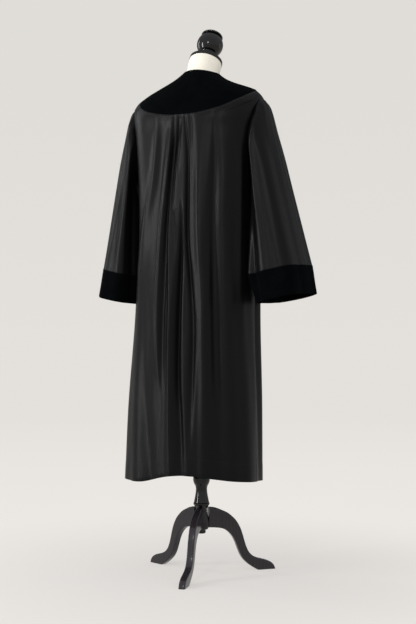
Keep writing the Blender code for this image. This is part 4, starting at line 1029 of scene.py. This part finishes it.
form_turn = -math.pi / 2 + full_turn(FORM_ROUND)
wide_turn, wide_share = np.meshgrid(np.append(form_turn, form_turn[0] + 2 * math.pi),
                                    np.linspace(0, 1, 7))
lining = yoke_surface(wide_turn, wide_share)
inside = lining - grid_normals(lining) * np.array(UNDER_YOKE + (0.02,))[:, None, None]
neck_axis = np.array([0, -math.sin(NECK_LEAN), math.cos(NECK_LEAN)])
neck_back = np.array([0, math.cos(NECK_LEAN), math.sin(NECK_LEAN)])
round_neck = NECK_RADIUS * (np.cos(form_turn)[:, None] * np.array([1.0, 0, 0])
                            + np.sin(form_turn)[:, None] * neck_back)
neck_rings = [np.array(CAP_MIDDLE) - neck_axis * down + round_neck for down in NECK_STEPS]
form_rings = neck_rings + list(inside[:6, :-1])
shoulder = form_rings[-1][:, 2]
form_rings += [form_ring(form_turn, shoulder + (SHOULDER_FOOT - shoulder) * share)
               for share in (0.30, 0.65, 0.90)]
form_rings += [form_ring(form_turn, np.full(FORM_ROUND, level)) for level in FORM_LEVELS]
form_grid = smoother(np.array(form_rings), FORM_STEPS)
form_grid[:, :, 2] = np.clip(form_grid[:, :, 2], FORM_LEVELS[-1], None)
form_faces = tube_faces(len(form_grid), FORM_ROUND)
form_cover = make_object("form_cover", form_grid + POLE, form_faces, sharp=50)
dress(form_cover, "form_torso", JERSEY)
print("form cover", len(form_faces), "faces")

# %% [markdown]
# ## Legs
#
# Each leg is sawn from a board in a long S and rounded along its edges. Its outer and inner
# edges are two lines in an upright plane. The surface joins them with a rounded rectangle at
# every share of the way from the hub to the foot.

# %% Legs
LEG_THICK, LEG_TURNS = 0.021, (193.0, 68.0, 315.5)
TO_CORNERS, LEG_SQUARE = 0.28, 8
LEG_OUTER = (
    (0.0223, 0.2050), (0.0450, 0.2015), (0.0665, 0.1930), (0.0850, 0.1838), (0.0997, 0.1720),
    (0.1110, 0.1605), (0.1200, 0.1470), (0.1275, 0.1320), (0.1335, 0.1150), (0.1400, 0.0930),
    (0.1470, 0.0730), (0.1560, 0.0565), (0.1670, 0.0460), (0.1830, 0.0382), (0.2008, 0.0330),
    (0.2180, 0.0275), (0.2314, 0.0200), (0.2395, 0.0110), (0.2436, 0.0),
)
LEG_INNER = (
    (0.1840, 0.0), (0.1640, 0.0120), (0.1470, 0.0250), (0.1350, 0.0375), (0.1267, 0.0510),
    (0.1190, 0.0690), (0.1103, 0.0910), (0.1000, 0.1095), (0.0872, 0.1236), (0.0745, 0.1325),
    (0.0602, 0.1373), (0.0450, 0.1395), (0.0305, 0.1407), (0.0223, 0.1410),
)


def along_line(line, share):
    """Points on a line through its listed points, at shares of its length."""
    line = np.array(line)
    run = length_along(line)
    return np.stack([through(run, line[:, n], share * run[-1]) for n in (0, 1)], axis=-1)


def leg_surface(share, angle):
    """Middle of the two edges plus a rounded rectangle.

    A low power of |cos| puts more points at the corners, a high one in the reach rounds them.
    """
    outer, inner = along_line(LEG_OUTER, share), along_line(LEG_INNER[::-1], share)
    c, s = [np.sign(wave) * np.abs(wave) ** TO_CORNERS for wave in (np.cos(angle), np.sin(angle))]
    fit = oval_reach(c, s, 1, 1, LEG_SQUARE)
    flat = (outer + inner) / 2 + (outer - inner) / 2 * (c * fit)[..., None]
    return points(flat[..., 0], LEG_THICK / 2 * s * fit, flat[..., 1])


LEG_ROWS, LEG_ROUND = 97, 48
leg_angle, leg_share = np.meshgrid(full_turn(LEG_ROUND), np.linspace(0, 1, LEG_ROWS))
leg_rings = leg_surface(leg_share, leg_angle)
for number, degrees in enumerate(LEG_TURNS, 1):
    turn = np.array(Matrix.Rotation(math.radians(degrees) - math.pi / 2, 3, "Z"))
    leg = make_object(f"leg_{number}_lacquered", leg_rings @ turn.T + POLE,
                      tube_faces(LEG_ROWS, LEG_ROUND), sharp=40)
    dress(leg, f"leg_{number}", LEG_LACQUER)
print("legs", leg_rings.shape)

# %% [markdown]
# ## Buttons
#
# Five plain buttons close the front lap. Each is a turned disc with a raised rim and four
# holes, sewn on with thread. The disc is one surface over radius and angle: its height is the
# rim's profile minus four narrow dips, which reads as a sewn button from any side.

# %% Buttons
BUTTON_HEIGHTS = (1.340, 1.210, 1.080, 0.950, 0.820)
BUTTON_RADIUS, BUTTON_THICK, BUTTON_GAP = 0.010, 0.0032, 0.0006
BUTTON_ROUND, UNDER_SHARE = 64, 0.985
DISH_DEPTH, EDGE_DROP = 0.0009, 0.0011
HOLE_DEPTH, HOLE_RADIUS, HOLE_PLACE = 0.0010, 0.0008, 0.0018


def button_top(radius, angle):
    """Height of the face: a rim, a shallow dish inside it and four round dips."""
    share = radius / BUTTON_RADIUS
    dish = BUTTON_THICK - DISH_DEPTH * ease((0.80 - share) / 0.16)
    edge = EDGE_DROP * ease((share - 0.90) / 0.10) ** 2
    x, y = radius * np.cos(angle), radius * np.sin(angle)
    holes = sum(np.exp(-(((x - a) ** 2 + (y - b) ** 2) / HOLE_RADIUS ** 2) ** 2)
                for a in (-HOLE_PLACE, HOLE_PLACE) for b in (-HOLE_PLACE, HOLE_PLACE))
    return dish - edge - HOLE_DEPTH * np.minimum(holes, 1)


ring_radii = np.linspace(0.0002, BUTTON_RADIUS, 40)
radius, angle = np.meshgrid(ring_radii, full_turn(BUTTON_ROUND), indexing="ij")
face = points(radius * np.cos(angle), radius * np.sin(angle), button_top(radius, angle))
radius, angle = radius[::-4], angle[::-4]
under = points(UNDER_SHARE * radius * np.cos(angle), UNDER_SHARE * radius * np.sin(angle),
               0.0004 * (radius / BUTTON_RADIUS) ** 6)
button_rings = np.concatenate([face, under])
button_faces = tube_faces(len(button_rings), BUTTON_ROUND)
button_seats = []
for number, level in enumerate(BUTTON_HEIGHTS, 1):
    turn, height = np.array(-math.pi / 2), np.array(level)
    out = body_normal(turn, height)
    seat = body_point(turn, height) + out * (LAP_RISE + BUTTON_GAP) + POLE
    toward = np.array(Vector(out).to_track_quat("Z", "Y").to_matrix())
    button_seats.append((seat, toward))
    piece = make_object(f"button_{number}_face", button_rings @ toward.T + seat, button_faces,
                        sharp=40)
    dress(piece, f"button_{number}", BUTTON)
print("buttons", len(BUTTON_HEIGHTS), "with", len(button_faces), "faces each")

# %% [markdown]
# ## Sewing
#
# The robe is sewn with black thread. A double row of small stitches holds the cloth below the
# yoke's seam, one row runs along the front lap, and blind stitches hold the turned-up hem. A
# stitch is a short spindle of thread whose ends dive into the cloth. One template is placed at
# every step of a line by arrays, so a row of hundreds is one mesh.

# %% Stitches
STITCH_AROUND = 6
# columns: place along the stitch, share of the thread's radius, height in radii
SPINDLE = np.array([(0.42, 0.75, 0.0), (0.22, 1.0, 0.7), (-0.22, 1.0, 0.7), (-0.42, 0.75, 0.0)])


def crossing(grid, values, level):
    """Point and normal of each column where values that grow down it pass a level."""
    normals = grid_normals(grid)
    j = np.arange(grid.shape[1])
    i = np.clip((values < level).sum(axis=0) - 1, 0, len(grid) - 2)
    part = ((level - values[i, j]) / (values[i + 1, j] - values[i, j]))[:, None]
    place = grid[i, j] + (grid[i + 1, j] - grid[i, j]) * part
    return place, unit(normals[i, j] + (normals[i + 1, j] - normals[i, j]) * part)


def line_at(grid, distance):
    """Crossing at a distance from the first row, measured on the cloth."""
    steps = np.linalg.norm(np.diff(grid, axis=0), axis=-1)
    return crossing(grid, np.pad(np.cumsum(steps, axis=0), ((1, 0), (0, 0))), distance)


def steps_along(line, normals, pitch, ends=0.004):
    """Middles, directions and normals of stitches one pitch apart along a line."""
    run = length_along(line)
    count = int((run[-1] - 2 * ends) / pitch)
    at = ends + pitch * (np.arange(count) + 0.5)
    spot, normal, ahead = [np.stack([np.interp(at + d, run, array[:, k]) for k in range(3)], -1)
                           for array, d in ((line, 0), (normals, 0), (line, pitch / 4))]
    return spot, unit(ahead - spot), unit(normal)


def stitches(name, spot, direction, normal, length, radius):
    """One mesh of spindles: rings round the thread's path, closed by a point at each end.

    Ring: spot + direction times place + normal times (rise + wide sin a) + side times wide cos a.
    """
    direction = unit(direction - normal * np.sum(direction * normal, axis=1, keepdims=True))
    side = np.cross(normal, direction)
    angle = full_turn(STITCH_AROUND)
    place, wide, rise = SPINDLE.T
    along = (place * length)[None, :, None, None] * direction[:, None, None]
    up = ((rise[:, None] + wide[:, None] * np.sin(angle)) * radius)[None, :, :, None]
    across = (wide[:, None] * np.cos(angle) * radius)[None, :, :, None]
    rings = spot[:, None, None] + along + up * normal[:, None, None] + across * side[:, None, None]
    tips = [spot + direction * (end * length) - normal * (radius * 0.8) for end in (0.5, -0.5)]
    each = np.concatenate([rings.reshape(len(spot), -1, 3), np.stack(tips, axis=1)], axis=1)
    shift = np.arange(len(spot))[:, None, None] * each.shape[1]
    quads = grid_faces(len(SPINDLE), STITCH_AROUND, closed=True)
    caps = np.array(pole_faces(len(SPINDLE), STITCH_AROUND))
    faces = [face for kind in (quads, caps)
             for face in (kind + shift).reshape(-1, kind.shape[1]).tolist()]
    attach(make_object(name, each, faces, sharp=80), THREAD)
    print(name, len(spot), "stitches")


print("stitch helpers ready")

# %% Seams
THREAD_RADIUS = 0.00022
YOKE_ROWS, HEM_ROW, LAP_ROW = (0.0055, 0.0080), HEM_DEPTH - 0.003, 0.006
YOKE_STITCH, HEM_STITCH, LAP_STITCH = (0.0032, 0.0025), (0.008, 0.0020), (0.0034, 0.0026)


def seam(name, grid, distance, side, stitch):
    """Row of stitches at a distance from a grid's first row; side is -1 on a flipped grid.

    A stitch is (pitch, length).
    """
    line, out = line_at(grid, distance)
    stitches(name, *steps_along(line, side * out, stitch[0]), stitch[1], THREAD_RADIUS)


for name, grid in (("back", back_grid), ("left", left_grid), ("right", right_grid)):
    for row, distance in enumerate(YOKE_ROWS, 1):
        seam(f"yoke_stitches_{name}_{row}", grid, distance, 1, YOKE_STITCH)
    seam("hem_stitches_" + name, grid[::-1], HEM_ROW, -1, HEM_STITCH)
seam("lap_stitches", left_grid.swapaxes(0, 1), LAP_ROW, -1, LAP_STITCH)

# %% [markdown]
# ## Buttonholes
#
# Each button comes through a level slit in the left front. On cloth this dark the slit itself
# can't be seen, but the thread that binds its edges can. Two rows of upright stitches run from
# under the button, one above the slit and one below it. Two threads lie over each button's
# holes.

# %% Buttonholes
SLIT_START, SLIT_END, SLIT_PITCH, BESIDE_SLIT = 0.004, 0.0205, 0.00085, 0.0011
THREAD_HEIGHT = BUTTON_THICK - 0.0007
BINDING_LENGTH, BINDING_RADIUS = 0.0018, 0.00020
HOLDING_LENGTH, HOLDING_RADIUS = 0.0048, 0.00035
binding, threads = [], []
slit = np.arange(SLIT_START, SLIT_END, SLIT_PITCH)
for seat, toward in button_seats:
    for rise in (-BESIDE_SLIT, BESIDE_SLIT):
        line, out = crossing(left_grid, -left_grid[:, :, 2], -seat[2] - rise)
        order = np.argsort(line[:, 0])
        both = np.concatenate([line, out], axis=1)[order]
        binding.append(np.stack([np.interp(seat[0] + slit, line[order, 0], values)
                                 for values in both.T], axis=1))
    for rise in (-HOLE_PLACE, HOLE_PLACE):
        place = seat + toward @ np.array((0, rise, THREAD_HEIGHT))
        threads.append(np.concatenate([place, toward[:, 0], toward[:, 2]]))
hole_spots, hole_normals = np.split(np.concatenate(binding), 2, axis=1)
upright = np.broadcast_to((0.0, 0.0, 1.0), hole_spots.shape)
stitches("buttonhole_stitches", hole_spots, upright, unit(hole_normals), BINDING_LENGTH,
         BINDING_RADIUS)
stitches("button_threads", *np.split(np.array(threads), 3, axis=1), HOLDING_LENGTH,
         HOLDING_RADIUS)

# %% [markdown]
# ## Floor and light
#
# The photograph stands in a pale studio: floor and wall are one tone and the shadows are soft.
# A wide floor that glows slightly and takes only a little shadow gives that. The light comes
# from a tall narrow box on the left that draws the ridges, a weak one behind it, a small one
# in front that shines on the lacquer, a weak one on the right, and the room's own glow.

# %% Floor and background
SEEN_TOP = (0.745, 0.723, 0.687)
SEEN_LOW = (0.775, 0.748, 0.716)
ROOM_LIGHT = 0.86


def by_sight(tree, lighting, seen, output):
    """One shader for the light that the room gives, another for what the eye sees."""
    path = add(tree, "LightPath")
    pick = add(tree, "MixShader", [(0, path.outputs["Is Camera Ray"]), (1, lighting.outputs[0]),
                                   (2, seen.outputs[0])])
    tree.links.new(pick.outputs[0], tree.nodes[output].inputs["Surface"])


def floor_finish():
    """Pale floor: its own glow for the eye, and some diffuse near the stand for the shadow."""
    pale = Finish("pale_floor", (0.70, 0.67, 0.65), 1.0, Specular_IOR_Level=0.0)
    tree = pale.tree
    glow = add(tree, "Emission", Color=(*SEEN_LOW, 1))
    far = add(tree, "VectorMath", [(0, pale.place)], operation="LENGTH")
    near = add(tree, "MapRange", [("Value", far.outputs["Value"])], From_Min=0.8, From_Max=6.0,
               To_Min=1.08, To_Max=1.0)
    tree.links.new(near.outputs["Result"], glow.inputs["Strength"])
    fade = add(tree, "MapRange", [("Value", far.outputs["Value"])], From_Min=0.20, From_Max=1.3,
               To_Min=0.60, To_Max=1.0, interpolation_type="SMOOTHSTEP")
    mix = add(tree, "MixShader", [(0, fade.outputs["Result"]), (1, pale.shader.outputs[0]),
                                  (2, glow.outputs[0])])
    dim = add(tree, "Emission", Color=(*SEEN_LOW, 1), Strength=ROOM_LIGHT)
    by_sight(tree, dim, mix, "Material Output")
    return pale.material


SPAN = 60.0
floor = make_object("floor", SPAN * np.array([[-1, -1, 0], [1, -1, 0], [1, 1, 0], [-1, 1, 0]]),
                    [[0, 1, 2, 3]])
floor.data.materials.append(floor_finish())

world = bpy.data.worlds.new("studio")
bpy.context.scene.world = world
world.use_nodes = True
tree = world.node_tree
room = tree.nodes["Background"]
room.inputs["Color"].default_value = (0.95, 0.97, 1.0, 1)
direction = add(tree, "TexCoord").outputs["Generated"]
side = add(tree, "VectorMath", [(0, direction)], operation="DOT_PRODUCT")
side.inputs[1].default_value = toward_camera
before = add(tree, "MapRange", [("Value", side.outputs["Value"])], From_Min=-0.75, From_Max=0.25,
             To_Min=0.30 * ROOM_LIGHT, To_Max=ROOM_LIGHT)
tree.links.new(before.outputs["Result"], room.inputs["Strength"])
up = add(tree, "SeparateXYZ", [(0, direction)])
lift = add(tree, "MapRange", [("Value", up.outputs["Z"])], From_Min=-0.02, From_Max=0.16)
seen = add(tree, "Background")
tree.links.new(mixed(tree, lift.outputs["Result"], SEEN_LOW, SEEN_TOP), seen.inputs["Color"])
by_sight(tree, room, seen, "World Output")
print("floor", SPAN * 2, "m wide")

# %% Lamps
LAMP_AIM = Vector((0, 0, 0.9))


def soft_box(name, turn, distance, height, size, power):
    """Lamp of a width and height at a turn round the pole; turn 0 is the camera's side."""
    lamp = bpy.data.lights.new(name, "AREA")
    lamp.shape = "ELLIPSE"
    lamp.size, lamp.size_y = size
    lamp.energy = power
    holder = in_scene(name, lamp)
    a = math.radians(turn)
    out = toward_camera * math.cos(a) + to_right * math.sin(a)
    holder.location = pole + out * distance + Vector((0, 0, height))
    turn_to(holder, holder.location - pole - LAMP_AIM)


soft_box("key", -70, 3.4, 1.5, (0.25, 2.4), 62)
soft_box("rim", -118, 3.0, 2.0, (0.3, 2.0), 14)
soft_box("front", -18, 3.6, 2.6, (0.45, 0.45), 20)
soft_box("fill", 100, 3.2, 1.6, (0.6, 1.6), 2)
